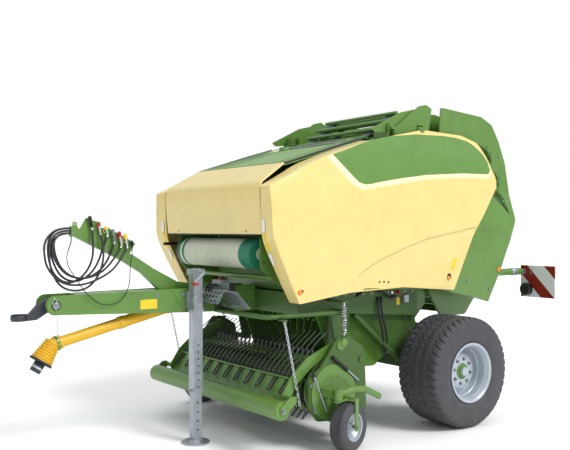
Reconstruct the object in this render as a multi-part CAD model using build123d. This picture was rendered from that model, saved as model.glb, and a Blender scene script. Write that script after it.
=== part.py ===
"""A towed round baler: drawbar, bale chamber, pick-up, tailgate and covers, in millimetres.

X is forward, Y is left and Z is up. Places are written from the ground point under the wheel axle, and
save() shifts each piece so that the origin lies under the middle of the whole machine.
"""
import math
import os

from build123d import *

# Main dimensions
TYRE_D = 1058
TYRE_W = 500
LUGS = 22
LUG_T = 36
TYRE_SIDES = 33
GAUGE_SIDES = 22
HITCH_X = 3607
TOW_TIP_X = 3925
BOARD_X = -1425
CHAMBER_W = 1220
WALL_T = 30
SEAT = 0.3
PIN_GAP = 0.3
SIDE_GAP = 8
CENTRE_X = (TOW_TIP_X + BOARD_X) / 2
CHAMBER_Y = CHAMBER_W / 2
WALL_OUT = CHAMBER_Y + WALL_T
TYRE_GAP = 230
TRACK = 2 * (WALL_OUT + TYRE_GAP) + TYRE_W

# Wheels and axle
AXLE_Z = TYRE_D / 2
BEAD_R = 256
FLANGE_R = 285
FLANGE_Y = 226
FLANGE_T = 12
BARREL_T = 9
DISC_Y = 112
DISC_T = 14
HUB_R = 78
HUB_CAP_R = 44
HUB_CAP_Y = 148
SPINDLE_R = 35
AXLE_BEAM = 120
SPINDLE_END = 100
HUB_IN = 20

# Drawbar and tow eye
BAR_IN = 105
BAR_T = 20
BAR_OUT = BAR_IN + BAR_T
BAR_BACK_X = 1660
BAR_TOP_T = 14
BAR_TOP = 1370
BAR_SINK = 8
HITCH_Z = 1284
EAR_R = 78
PIN_R = 24
EYE_BORE_R = 25
EYE_Z = 1192
EYE_R = 62
EYE_T = 50
EYE_X = TOW_TIP_X - EYE_R

# Chassis
BEAM_OUT = WALL_OUT + 150
BEAM_TOP = 1330
BEAM_REAR_X = 155
CROSS_X0 = 1560
BRACKET_Y0 = WALL_OUT + 50
BRACKET_Y1 = BRACKET_Y0 + 35
STRUT_R = 24
STRUT_FRONT_X = 964
BAR_TUBE_R = 21
FRONT_BAR_Y = BEAM_OUT + 150

# Belt-and-slat elevators
BELT_T = 8
SLAT_R = 18
SLAT_PITCH = 165
BELT_W = 100
BELT_OUT = CHAMBER_Y - 110
BELT_Y = ((BELT_OUT - BELT_W, BELT_OUT), (-BELT_OUT, BELT_W - BELT_OUT))
SLAT_HALF_W = CHAMBER_Y - 50
FLOOR_X = 330
FLOOR_Z = 1030
FLOOR_R = 105
TOP_PLATE_Y = WALL_OUT + 195

# Tailgate
TAIL_X = -80
TAIL_Z = 3020
TAIL_PIN_R = 28
TAIL_WALL_GAP = 6
TAIL_IN = WALL_OUT + TAIL_WALL_GAP
TAIL_OUT = TAIL_IN + WALL_T
PANEL_T = 15

# Hood and doors
HOOD_X = 785
HOOD_Z = 2765
HOOD_ROD_R = 14
SHEET_T = 12
LID_HALF_W = WALL_OUT + 88
HOOD_HALF_W = WALL_OUT + 193
DOOR_FRONT_Y = HOOD_HALF_W + 9
DOOR_HINGE_Y = WALL_OUT + 192
DOOR_HINGE_Z = 2902
DOOR_T = 15
DOOR_PIN_R = 9
DOOR_HINGES = (160, 560)
LID_BACK_X = 838

# Net roll
NET_X = 1950
NET_Z = 1680
NET_R = 138
NET_HALF_W = WALL_OUT + 8
NET_CORE_R = 30
NET_PLATE_Y = NET_HALF_W + 52
NET_PLATE_T = 12

# Feed rotor
ROTOR_X = 985
ROTOR_Z = 800
ROTOR_R = 245
ROTOR_SHAFT_R = 70
ROTOR_STARS = 14

# Pick-up
PICK_X = 1150
PICK_Z = 740
PICK_PIN_R = 28
REEL_X = 1470
REEL_Z = 475
REEL_TIP_R = 330
REEL_BAR_R = 175
REEL_BARS = 5
REEL_HALF_W = WALL_OUT + 310
REEL_ROWS = 26
BAND_R = 250
BAND_T = 8
BAND_W = 28
TINE_R = 4
SIDE_Y0 = REEL_HALF_W + 80
SIDE_Y1 = SIDE_Y0 + 25
GUARD_X = 1362
GUARD_Z = 905
GUARD_ROD_R = 20
ROLLER_X = 2062
ROLLER_Z = 400
ROLLER_R = 80
ROLLER_HALF_W = SIDE_Y1 + 45
COMB_ROWS = 27
GUARD_SPRINGS = 11
ROLLER_PIN_R = 16
RAIL_X = 1837
RAIL_Z = 613
RAIL_R = 11
COMB_END_X = 1460
COMB_END_Z = 985
SPRING_X = 1300
SPRING_Y = SIDE_Y0 - 30
SPRING_TOP = 1245
CHAIN_X = 1965
CHAIN_Y = SIDE_Y0 - 27
CHAIN_TOP = 1125
CHAIN_END_X = 1800
CHAIN_END_Z = 370
CHAIN_LINKS = 9
LINK_W = 26
LINK_T = 8
LINK_LAP = 6
GUARD_HALF_W = CHAIN_Y - 25

# Gauge wheels
CASTER_X = 1583
CASTER_Y = SIDE_Y1 + 194
CASTER_TURN = 17
GAUGE_D = 420
GAUGE_W = 150
GAUGE_RIM_R = 120
GAUGE_TRAIL = 150
GAUGE_PIN_R = 12
CASTER_PIN_R = 16

# Jack
JACK_X = 2358
JACK_Y = 205
JACK_OUT = 90
JACK_WALL = 5
JACK_TOP = 1490
JACK_LOW = 440
JACK_PLAY = 0.5
CRANK_REACH = 150
CRANK_R = 10
FOOT_R = 125
FOOT_T = 12

# Drive shaft
SHAFT_BACK = (2250, 1262)
SHAFT_FRONT = (3598, 953)
SHAFT_TUBE_R = 52
BELL_DIR = (0.563, -0.827)
BELL_LEN = 165
BELL_RIBS = 7
YOKE_R = 46
YOKE_LEN = 82
YOKE_BORE_R = 17.5
YOKE_BORE_L = 60

# Hose arm
ARM_T = 6
ARM_Y0 = -46
ARM_Y1 = 6
CLAMP_T = 14
CLAMP_Z0 = 1838
CLAMP_Z1 = 1922
HOSE_END_X = 3432
HOSE_ROWS = (1908, 1887, 1866)
CABLE_END_X = HOSE_END_X - CLAMP_T / 2
HOSE_R = 9
CABLE_R = 4
HOSE_Y = 36
HOSE_Y0 = -34
HOSE_Y1 = -12

# Step
STEP_SLOTS = (180, 235, 290, 345, 400)

# Warning boards
BOARD_Y0 = WALL_OUT + 230
BOARD_Y1 = BOARD_Y0 + 430
BOARD_Z0 = 1155
BOARD_Z1 = 1500
BOARD_T = 16
LIGHT_ARM_Y = BOARD_Y0 + 15
LIGHT_ARM_Z = 1432
LIGHT_ARM_R = 38


def save(name, *pieces):
    """Write one node, shifted so that the origin is under the middle of the machine."""
    solids = []
    for piece in pieces:
        solids += [s for s in piece.solids()]
    moved = [Pos(-CENTRE_X, 0, 0) * s for s in solids]
    export_step(moved[0] if len(moved) == 1 else Compound(moved), f"parts/{name}.step")


def block(x0, x1, y0, y1, z0, z1):
    """A box between two corners."""
    return Pos((x0 + x1) / 2, (y0 + y1) / 2, (z0 + z1) / 2) * Box(abs(x1 - x0), abs(y1 - y0), abs(z1 - z0))


def outline(rows):
    """A face in the XZ plane from rows of x, z and corner radius."""
    points = [(x, 0, z) for x, z, r in rows]
    return make_face(FilletPolyline(*points, radius=[r for x, z, r in rows], close=True))


def plate(rows, y0, y1):
    """A plate with an XZ outline between two y values."""
    solid = extrude(outline(rows), amount=abs(y1 - y0), dir=(0, 1, 0))
    return Pos(0, min(y0, y1), 0) * solid


def sharp(points, y0, y1):
    """A plate with sharp corners."""
    return plate([(x, z, 0) for x, z in points], y0, y1)


def disc(x, z, r, y0, y1):
    """A cylinder along Y."""
    return Pos(x, (y0 + y1) / 2, z) * Rot(90, 0, 0) * Cylinder(r, abs(y1 - y0))


def rod(start, end, r):
    """A round bar between two points."""
    a = Vector(*start)
    b = Vector(*end)
    plane = Plane(origin=a, z_dir=(b - a).normalized())
    return extrude(plane * Circle(r), amount=(b - a).length)


def tube(points, r, radii):
    """A round tube along straight runs and tangent arcs."""
    path = FilletPolyline(*points, radius=radii)
    return sweep(Plane(origin=path @ 0, z_dir=path % 0) * Circle(r), path=path)


def turned(rows, x, z):
    """A solid turned about a Y axis, from rows of radius and y."""
    face = make_face(Polyline(*[(r, y, 0) for r, y in rows], close=True))
    return Pos(x, 0, z) * revolve(face, Axis.Y)


def band(rows, thick, y0, y1):
    """A closed belt of the given thickness inside an XZ outline."""
    face = outline(rows)
    return plate(rows, y0, y1) - Pos(0, min(y0, y1), 0) * extrude(
        offset(face, -thick), amount=abs(y1 - y0), dir=(0, 1, 0))


def along(rows, out, count):
    """Points spaced evenly along an outline, moved out by a distance."""
    wire = offset(outline(rows), out).face().outer_wire()
    return [wire.position_at(i / count) for i in range(count)]


def sheet(points, thick, y0, y1):
    """A bent sheet: an open XZ line of points, thickened downwards."""
    under = []
    for i, (x, z) in enumerate(points):
        before = points[max(i - 1, 0)]
        after = points[min(i + 1, len(points) - 1)]
        length = math.hypot(after[0] - before[0], after[1] - before[1])
        under.append((x + thick * (after[1] - before[1]) / length, z - thick * (after[0] - before[0]) / length))
    return sharp(points + under[::-1], y0, y1)


def many_sided(ring, sides):
    """A hollow form with flat faces about the Y axis, from a closed ring of corner radius and y."""
    faces = []
    for i in range(sides):
        a = 2 * math.pi * i / sides
        b = 2 * math.pi * (i + 1) / sides
        for (r0, y0), (r1, y1) in zip(ring, ring[1:] + ring[:1]):
            corners = [(r0, y0, a), (r1, y1, a), (r1, y1, b), (r0, y0, b)]
            spots = [(r * math.cos(t), y, r * math.sin(t)) for r, y, t in corners]
            faces.append(Face(Wire.make_polygon(spots, close=True)))
    return Solid(Shell(faces))


def carcass(half, bead, flange, seat_y, sides):
    """A tyre's carcass from rows of radius and y for its outer half, its bead and flange radii and its seat."""
    lip = bead / math.cos(math.pi / sides)
    flange = flange / math.cos(math.pi / sides)
    outer = [(r, -y) for r, y in half[::-1]] + half
    return many_sided([(lip, -seat_y), (flange, -seat_y)] + outer + [(flange, seat_y), (lip, seat_y)], sides)


def lugs(section):
    """The tread's lugs, staggered from side to side, from a section of radius and y."""
    shapes = []
    for flip in (1, -1):
        face = make_face(Polyline(*[(r, flip * y, -LUG_T / 2) for r, y in section], close=True))
        solid = extrude(face, amount=LUG_T, dir=(0, 0, 1))
        for i in range(LUGS):
            shapes.append(Rot(0, (i + flip / 4) * 360 / LUGS, 0) * solid)
    return shapes


def main_wheels():
    """Tyres, dished rims and hubs of both wheels."""
    reach = TYRE_D / 2
    side = TYRE_W / 2
    # radius, y from the tyre's middle
    half = [(512, side - 60), (480, side - 8), (400, side), (330, side - 6)]
    lug = [(480, 36), (reach - 0.4, 58), (reach - 0.4, side - 80), (516, side - 28), (476, side - 2), (440, side - 6)]
    tyre = carcass(half, BEAD_R + SEAT, FLANGE_R, FLANGE_Y - SEAT, TYRE_SIDES)
    tyre = tyre.fuse(*lugs(lug))
    barrel = BEAD_R - BARREL_T
    rim = [(barrel, -FLANGE_Y), (BEAD_R, -FLANGE_Y), (FLANGE_R, -FLANGE_Y), (FLANGE_R, -FLANGE_Y - FLANGE_T),
           (barrel, -FLANGE_Y - FLANGE_T)]
    barrel_ring = [(barrel, -FLANGE_Y - FLANGE_T), (BEAD_R, -FLANGE_Y - FLANGE_T), (BEAD_R, FLANGE_Y + FLANGE_T),
                   (barrel, FLANGE_Y + FLANGE_T)]
    dish = [(HUB_R, DISC_Y), (HUB_R, DISC_Y - DISC_T), (165, DISC_Y - DISC_T), (barrel, 30), (barrel, 48),
            (172, DISC_Y)]
    hub = [(0, HUB_CAP_Y), (HUB_CAP_R, HUB_CAP_Y), (HUB_CAP_R, DISC_Y + 2), (HUB_R, DISC_Y), (HUB_R, -HUB_IN - 60),
           (SPINDLE_R + PIN_GAP, -HUB_IN - 60), (SPINDLE_R + PIN_GAP, SPINDLE_END + 4), (0, SPINDLE_END + 4)]
    for name, flip in (("left", 1), ("right", -1)):
        place = Pos(0, flip * TRACK / 2, 0)

        def across(rows):
            return [(r, flip * y) for r, y in rows]

        save(f"tyre_{name}", place * Pos(0, 0, AXLE_Z) * tyre)
        ring = turned(across(barrel_ring), 0, AXLE_Z) + turned(across(rim), 0, AXLE_Z)
        ring += turned([(r, -flip * y) for r, y in rim], 0, AXLE_Z)
        save(f"rim_{name}", place * (ring + turned(across(dish), 0, AXLE_Z)))
        save(f"hub_{name}", place * turned(across(hub), 0, AXLE_Z))


def axle():
    """The axle beam with a round spindle at each end."""
    inner = TRACK / 2 - HUB_IN - 60 - 25
    beam = block(-AXLE_BEAM / 2, AXLE_BEAM / 2, -inner, inner, AXLE_Z - AXLE_BEAM / 2, AXLE_Z + AXLE_BEAM / 2)
    reach = TRACK / 2 + SPINDLE_END
    save("axle", beam + disc(0, AXLE_Z, SPINDLE_R, -reach, reach))


def drawbar():
    """Two deep side plates under a top plate, ending in two rounded ears."""
    # x, z, corner radius
    side = [(BAR_BACK_X, 1130, 0), (2377, 1153, 0), (HITCH_X - 40, HITCH_Z - EAR_R, 40),
            (HITCH_X + EAR_R, HITCH_Z - EAR_R, EAR_R - 2), (HITCH_X + EAR_R, HITCH_Z + EAR_R, EAR_R - 2),
            (HITCH_X - 60, HITCH_Z + EAR_R, 30), (2377, BAR_TOP, 0), (BAR_BACK_X, BAR_TOP, 0)]
    shape = block(BAR_BACK_X, HITCH_X - 187, -BAR_IN, BAR_IN, BAR_TOP - BAR_SINK - BAR_TOP_T, BAR_TOP - BAR_SINK)
    for flip in (1, -1):
        ear = plate(side, flip * BAR_IN, flip * BAR_OUT)
        shape += ear - disc(HITCH_X, HITCH_Z, PIN_R + SEAT, -200, 200)
    save("drawbar", shape)
    save("tow_pin", disc(HITCH_X, HITCH_Z, PIN_R, -BAR_OUT - 14, BAR_OUT + 14)
         + disc(HITCH_X, HITCH_Z, PIN_R + 8, BAR_OUT + SEAT, BAR_OUT + 14)
         + disc(HITCH_X, HITCH_Z, PIN_R + 8, -BAR_OUT - 14, -BAR_OUT - SEAT))


def tow_eye():
    """The swan-necked tow eye between the ears, with its ring lying flat."""
    shank = [(3500, 1330, 10), (3500, 1240, 10), (3640, 1225, 30), (3730, 1170, 30), (3790, EYE_Z - EYE_T / 2, 0),
             (EYE_X, EYE_Z - EYE_T / 2, 0), (EYE_X, EYE_Z + EYE_T / 2, 0), (3780, EYE_Z + EYE_T / 2, 20),
             (3700, 1300, 30), (3640, 1335, 20)]
    shape = plate(shank, -38, 38)
    shape += Pos(EYE_X, 0, EYE_Z) * Cylinder(EYE_R, EYE_T)
    shape += disc(HITCH_X, HITCH_Z, 46, -BAR_IN + SEAT, BAR_IN - SEAT)
    shape -= Pos(EYE_X, 0, EYE_Z) * Cylinder(EYE_BORE_R, EYE_T + 200)
    save("tow_eye", shape - disc(HITCH_X, HITCH_Z, PIN_R + SEAT, -200, 200))


def chassis():
    """Side beams with axle brackets, struts and pick-up hangers, joined by the front cross member."""
    beam = [(CROSS_X0 + 100, 1135, 0), (1122, 1121, 0), (BEAM_REAR_X, 1041, 0), (BEAM_REAR_X, BEAM_TOP, 0),
            (CROSS_X0 + 100, BEAM_TOP, 0)]
    bracket = [(1052, 1150, 0), (1052, 1095, 0), (774, 989, 60), (620, 820, 60), (400, AXLE_Z + 161, 60),
               (240, AXLE_Z - 29, 60), (150, AXLE_Z - 89, 40), (-110, AXLE_Z - 99, 40), (-150, AXLE_Z + 91, 60),
               (100, 950, 80), (176, 1150, 0)]
    hanger = [(PICK_X - 90, 1150), (PICK_X + 140, 1150), (PICK_X + 45, PICK_Z - 20), (PICK_X - 45, PICK_Z - 20)]
    shape = block(CROSS_X0, BAR_BACK_X, -WALL_OUT, WALL_OUT, 1135, BEAM_TOP)
    for flip in (1, -1):
        shape += plate(beam, flip * WALL_OUT, flip * BEAM_OUT)
        shape += plate(bracket, flip * BRACKET_Y0, flip * BRACKET_Y1)
        strut_y = flip * (BRACKET_Y1 + STRUT_R + 8)
        shape += rod((STRUT_FRONT_X, strut_y, 1100), (300, strut_y, AXLE_Z + 31), STRUT_R)
        shape += sharp(hanger, flip * (BEAM_OUT - 30), flip * BEAM_OUT)
        shape += disc(PICK_X, PICK_Z, PICK_PIN_R, flip * (BEAM_OUT - 30), flip * (SIDE_Y1 + 12))
        shape += block(SPRING_X - 40, SPRING_X + 40, flip * BEAM_OUT, flip * (SPRING_Y + 25), SPRING_TOP, SPRING_TOP + 12)
    half = AXLE_BEAM / 2
    save("chassis", shape - block(-half, half, -2000, 2000, AXLE_Z - half, AXLE_Z + half))


def front_bars():
    """The round guard bars that run from the drawbar round to the side beams, with their chain tabs."""
    shapes = []
    for flip in (1, -1):
        points = [(2100, flip * BAR_OUT, 1158), (2100, flip * FRONT_BAR_Y, 1158), (1240, flip * FRONT_BAR_Y, 1152),
                  (1240, flip * BEAM_OUT, 1152)]
        tab = block(CHAIN_X - 25, CHAIN_X + 25, flip * FRONT_BAR_Y, flip * (CHAIN_Y + 14), CHAIN_TOP, CHAIN_TOP + 10)
        shapes.append(tube(points, BAR_TUBE_R, [90, 60]) + tab)
    save("front_bars", *shapes)


def housing():
    """The front half of the bale chamber: its walls, with the door hinges on them, and what crosses between."""
    inner = CHAMBER_Y
    # x, z, corner radius
    wall = [(1120, 600, 60), (1230, 900, 60), (1330, 1110, 40), (CROSS_X0, 1135, 0), (CROSS_X0, 2490, 20),
            (825, HOOD_Z - 65, 0), (808, HOOD_Z + 30, 10), (765, HOOD_Z + 30, 10), (735, HOOD_Z - 35, 10),
            (300, TAIL_Z - 95, 30),
            (20, TAIL_Z + 55, 60),
            (TAIL_X - 36, TAIL_Z + 36, 34),
            (TAIL_X - 36, TAIL_Z - 190, 0), (-118, 1130, 0), (120, 900, 60), (600, 560, 100)]
    shapes = []
    for flip in (1, -1):
        shape = plate(wall, flip * inner, flip * WALL_OUT)
        shape -= disc(ROTOR_X, ROTOR_Z, ROTOR_SHAFT_R + PIN_GAP, -2000, 2000)
        shape += disc(TAIL_X, TAIL_Z, TAIL_PIN_R, flip * inner, flip * (TAIL_OUT + 20))
        shapes.append(shape + door_brackets(flip) + top_plate(flip))
    save("housing_walls", *shapes)
    floor = [(1150, 590), (1060, 535), (900, 515), (700, 575), (420, 800), (180, 930)]
    sheets = [sheet(floor, 12, -inner, inner), block(CROSS_X0 - 15, CROSS_X0, -inner, inner, BEAM_TOP, 2470)]
    save("chamber_sheets", *sheets)
    save("hood_rod", disc(HOOD_X, HOOD_Z, HOOD_ROD_R, -inner, inner))


def door_brackets(flip):
    """The two forked brackets on a chamber wall that hold the door's hinge pins."""
    shape = None
    for x in DOOR_HINGES:
        part = Pos(x, flip * DOOR_HINGE_Y, DOOR_HINGE_Z) * Rot(0, 90, 0) * Cylinder(DOOR_PIN_R, 80)
        for cheek in (-40, 30):
            part += block(x + cheek, x + cheek + 10, flip * WALL_OUT, flip * (DOOR_HINGE_Y + 12),
                          DOOR_HINGE_Z - 112, DOOR_HINGE_Z + 14)
        shape = part if shape is None else shape + part
    return shape


def top_plate(flip):
    """The flared plate beside the top of the front half, on its stand-offs."""
    edge = [(67, TAIL_Z + 126, 30), (-12, TAIL_Z + 90, 12), (30, TAIL_Z - 130, 10), (40, HOOD_Z + 25, 10),
            (508, HOOD_Z + 25, 10), (500, HOOD_Z + 122, 30), (176, TAIL_Z + 100, 60)]
    shape = plate(edge, flip * TOP_PLATE_Y, flip * (TOP_PLATE_Y - 10))
    for x, z in ((80, TAIL_Z - 10), (400, HOOD_Z + 75)):
        shape += disc(x, z, 18, flip * (WALL_OUT - 5), flip * (TOP_PLATE_Y - 5))
    for x in DOOR_HINGES:
        shape -= block(x - 45, x + 45, flip * (TOP_PLATE_Y - 15), flip * (TOP_PLATE_Y + 5), 2650, DOOR_HINGE_Z + 30)
    return shape


# x, z and corner radius of each bend, and 1 where a roller lies in it
FRONT_LOOP = ((60, 3000, 55, 0), (120, 3125, 55, 1), (900, 2600, 100, 1), (1400, 2200, 120, 1), (1400, 1480, 120, 0),
              (1100, 1180, 110, 1), (640, 1240, 90, 1), (800, 1900, 600, 0), (560, 2500, 300, 0))
REAR_LOOP = ((-250, 2980, 60, 1), (-700, 2880, 120, 0), (-1010, 2500, 200, 0), (-1060, 1950, 300, 0),
             (-930, 1400, 200, 0), (-640, 1050, 70, 1), (-430, 1180, 70, 1), (-640, 1500, 200, 0),
             (-800, 1950, 400, 0), (-600, 2500, 300, 0))


def loop_outline(rows):
    """The belt's path without the roller column."""
    return [(x, z, r) for x, z, r, roller in rows]


def bend_centre(rows, i):
    """The centre of the arc in one bend of a loop."""
    x, z, r, roller = rows[i]
    here = Vector(x, 0, z)
    back = (Vector(rows[i - 1][0], 0, rows[i - 1][1]) - here).normalized()
    ahead = (Vector(rows[(i + 1) % len(rows)][0], 0, rows[(i + 1) % len(rows)][1]) - here).normalized()
    half = math.radians(back.get_angle(ahead)) / 2
    spot = here + (back + ahead).normalized() * (r / math.sin(half))
    return spot.X, spot.Z


def conveyors():
    """The belt-and-slat elevators of both halves of the chamber, with their rollers."""
    for name, loop, half in (("front", FRONT_LOOP, CHAMBER_Y), ("rear", REAR_LOOP, TAIL_IN)):
        rows = loop_outline(loop)
        save(f"belts_{name}", *[band(rows, BELT_T, y0, y1) for y0, y1 in BELT_Y])
        length = offset(outline(rows), SLAT_R).face().outer_wire().length
        places = along(rows, SLAT_R + SEAT, round(length / SLAT_PITCH))
        shapes = [disc(p.X, p.Z, SLAT_R, -SLAT_HALF_W, SLAT_HALF_W) for p in places]
        for i, (x, z, r, roller) in enumerate(loop):
            if roller:
                cx, cz = bend_centre(loop, i)
                shapes.append(disc(cx, cz, r - BELT_T - SEAT, -half, half))
        if name == "front":
            shapes.append(disc(FLOOR_X, FLOOR_Z, FLOOR_R, -half + SIDE_GAP, half - SIDE_GAP)
                          + disc(FLOOR_X, FLOOR_Z, 35, -half, half))
        save(f"slats_{name}", *shapes)


def tailgate():
    """The rear half of the chamber: walls, rear cover and flared side panels."""
    # x, z, corner radius
    wall = [(TAIL_X + 52, TAIL_Z + 52, 50), (TAIL_X + 52, TAIL_Z - 60, 50), (-145, TAIL_Z - 370, 40),
            (-145, 1240, 60),
            (-330, 985, 60), (-700, 985, 60), (-1010, 1330, 100), (-1140, 1960, 200), (-1090, 2500, 100),
            (-880, TAIL_Z - 140, 100), (-700, TAIL_Z - 20, 60), (-230, TAIL_Z + 70, 40)]
    shapes = []
    for flip in (1, -1):
        shapes.append(plate(wall, flip * TAIL_IN, flip * TAIL_OUT)
                      - disc(TAIL_X, TAIL_Z, TAIL_PIN_R + PIN_GAP, -2000, 2000))
    save("tailgate_walls", *shapes)
    back = [(-700, 985), (-1010, 1330), (-1140, 1960), (-1090, 2500), (-880, TAIL_Z - 140),
            (-700, TAIL_Z - 20), (-330, TAIL_Z + 50)]
    save("rear_cover", sheet(back, -10, -TAIL_IN, TAIL_IN))
    save("side_panels", side_panel(1), side_panel(-1))


# z, and how far out from the chamber's wall the tailgate's side panel and the door lie, from the bottom up
PANEL_SECTION = ((900, 285), (1300, 310), (1900, 310), (2350, 198), (3200, 185))
DOOR_SECTION = ((1100, 345), (1450, 390), (2250, 400), (2560, 335), (2760, 265), (2880, 222))
# x, z, corner radius
PANEL_EDGE = ((-165, 3133, 12), (-140, 2900, 60), (-70, 1290, 20), (-216, 1262, 80), (-461, 1215, 80),
              (-758, 1142, 12), (-947, 1464, 200), (-1117, 1783, 200), (-1222, 1993, 150), (-1205, 2270, 200),
              (-1180, 2605, 250), (-1069, 2850, 120), (-960, 3017, 80), (-785, 3090, 60))
DOOR_EDGE = ((2120, 2262, 25), (2104, 1850, 150), (1990, 1590, 100), (1806, 1258, 25), (1245, 1330, 300),
             (550, 1349, 400), (-150, 1290, 20), (-430, 1820, 500), (-800, 2370, 160), (-640, 2800, 90),
             (-420, 2868, 200), (150, 2885, 400), (900, 2730, 300), (1650, 2480, 200))


# x, z of the corners of the slots let into the tailgate's side panel, and their depth
LOUVRE_T = 9
LOUVRES = (((-742, 2800), (-860, 2752), (-925, 2680), (-948, 2600), (-905, 2640), (-815, 2700)),
           ((-820, 2575), (-1000, 2512), (-1052, 2440), (-1062, 2350), (-1010, 2400), (-905, 2470)),
           ((-815, 2400), (-1030, 2302), (-1108, 2210), (-1140, 2060), (-1060, 2140), (-900, 2270)))


def skin_y(section, z):
    """The outer y of a skin at a height."""
    for (z0, y0), (z1, y1) in zip(section, section[1:]):
        if z0 <= z <= z1:
            return WALL_OUT + y0 + (y1 - y0) * (z - z0) / (z1 - z0)
    return WALL_OUT + section[-1][1]


def skin(section, thick, x0, x1, flip):
    """A bent sheet running along X, from rows of z and distance out from the chamber's wall."""
    outer = [(flip * (WALL_OUT + y), z) for z, y in section]
    inner = [(flip * (WALL_OUT + y - thick), z) for z, y in section]
    face = make_face(Polyline(*[(x0, y, z) for y, z in outer + inner[::-1]], close=True))
    return extrude(face, amount=x1 - x0, dir=(1, 0, 0))


def side_panel(flip):
    """The green panel outside the tailgate's wall, with its stand-offs."""
    shape = skin(PANEL_SECTION, PANEL_T, -1300, 100, flip)
    shape &= plate(PANEL_EDGE, -2000, 2000)
    for ring in LOUVRES:
        shape -= sharp(ring, -2000, 2000) & skin(PANEL_SECTION, LOUVRE_T, -1300, 100, flip)
    for x, z in ((-320, 2960), (-820, 2880), (-1050, 2000), (-420, 1330), (-790, 1330)):
        shape += disc(x, z, 22, flip * (TAIL_OUT + SEAT), flip * (skin_y(PANEL_SECTION, z) - PANEL_T / 2))
    return shape


def door(flip):
    """The large side door: a curved shell with a narrow front flank and its hinge knuckles."""
    shape = skin(DOOR_SECTION, DOOR_T, -1000, 2200, flip)
    edge = plate(DOOR_EDGE, -2000, 2000)
    shape &= edge
    flank = edge - Pos(-DOOR_T * 1.4, 0, 0) * edge
    flank &= block(1500, 2200, flip * DOOR_FRONT_Y, flip * (WALL_OUT + 460), 1200, 2300)
    flank &= skin(DOOR_SECTION, 300, 1400, 2250, flip)
    shape += flank
    for x in DOOR_HINGES:
        arm = block(x - 25, x + 25, flip * DOOR_HINGE_Y, flip * (WALL_OUT + 260), 2740, 2879)
        arm &= skin(DOOR_SECTION, 300, x - 30, x + 30, flip)
        arm += block(x - 25, x + 25, flip * DOOR_HINGE_Y, flip * (DOOR_HINGE_Y + 16), 2860, DOOR_HINGE_Z)
        arm += Pos(x, flip * DOOR_HINGE_Y, DOOR_HINGE_Z) * Rot(0, 90, 0) * Cylinder(DOOR_PIN_R + 8, 50)
        bore = Pos(x, flip * DOOR_HINGE_Y, DOOR_HINGE_Z) * Rot(0, 90, 0) * Cylinder(DOOR_PIN_R + PIN_GAP, 90)
        shape += arm - bore
    return shape


def doors():
    """Both side doors."""
    save("door_left", door(1))
    save("door_right", door(-1))


def hood():
    """The front cover and the green lid behind it, which lift together."""
    fold = [(2070, 1856), (2098, 2225), (2085, 2280), (2040, 2320), (1772, 2478)]
    cover = sheet(fold, -SHEET_T, -HOOD_HALF_W, HOOD_HALF_W)
    taper = make_face(Polyline((0, -HOOD_HALF_W, 1800), (0, HOOD_HALF_W, 1800), (0, HOOD_HALF_W, 2290),
                               (0, LID_HALF_W, 2520), (0, -LID_HALF_W, 2520), (0, -HOOD_HALF_W, 2290), close=True))
    save("front_cover", cover & Pos(1000, 0, 0) * extrude(taper, amount=1500, dir=(1, 0, 0)))
    lid = sheet([(1768, 2476), (LID_BACK_X, HOOD_Z - 16)], -SHEET_T, -LID_HALF_W, LID_HALF_W)
    for y in (-500, 500):
        lid += sharp([(LID_BACK_X + 20, HOOD_Z - 21), (LID_BACK_X + 20, HOOD_Z - 9), (HOOD_X, HOOD_Z + 22),
                      (HOOD_X, HOOD_Z - 10)],
                     y - 40, y + 40)
        lid += disc(HOOD_X, HOOD_Z, HOOD_ROD_R + 9, y - 40, y + 40)
    save("top_lid", lid - disc(HOOD_X, HOOD_Z, HOOD_ROD_R + PIN_GAP, -2000, 2000))


def net_wrap():
    """The net roll between its two side plates."""
    side = [(CROSS_X0, BEAM_TOP, 0), (1700, BEAM_TOP, 20), (2010, 1560, 60), (2010, 1800, 40), (1900, 2060, 60),
            (CROSS_X0, 2250, 0)]
    spindle_r = NET_CORE_R - 6
    shapes = []
    for flip in (1, -1):
        shape = plate(side, flip * NET_PLATE_Y, flip * (NET_PLATE_Y + NET_PLATE_T))
        shape += disc(NET_X, NET_Z, spindle_r, flip * (NET_HALF_W - 30), flip * NET_PLATE_Y)
        shape += block(CROSS_X0 - 20, CROSS_X0 + 40, flip * WALL_OUT, flip * NET_PLATE_Y, 1900, 2100)
        shapes.append(shape)
    save("net_plates", *shapes)
    roll = disc(NET_X, NET_Z, NET_R, -NET_HALF_W, NET_HALF_W)
    save("net_roll", roll - disc(NET_X, NET_Z, spindle_r + PIN_GAP, -NET_HALF_W - 5, NET_HALF_W + 5))


def feed_rotor():
    """The feed rotor behind the pick-up: a shaft with rows of star plates."""
    half = CHAMBER_Y
    shape = disc(ROTOR_X, ROTOR_Z, ROTOR_SHAFT_R, -half - WALL_T - 10, half + WALL_T + 10)
    pitch = (CHAMBER_W - 120) / (ROTOR_STARS - 1)
    for i in range(ROTOR_STARS):
        y = -half + 60 + i * pitch
        points = []
        for k in range(8):
            a = math.radians(45 * k + 9 * i)
            r = ROTOR_R if k % 2 == 0 else 110
            points.append((ROTOR_X + r * math.cos(a), ROTOR_Z + r * math.sin(a)))
        shape += sharp(points, y - 4, y + 4)
    save("feed_rotor", shape)


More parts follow.
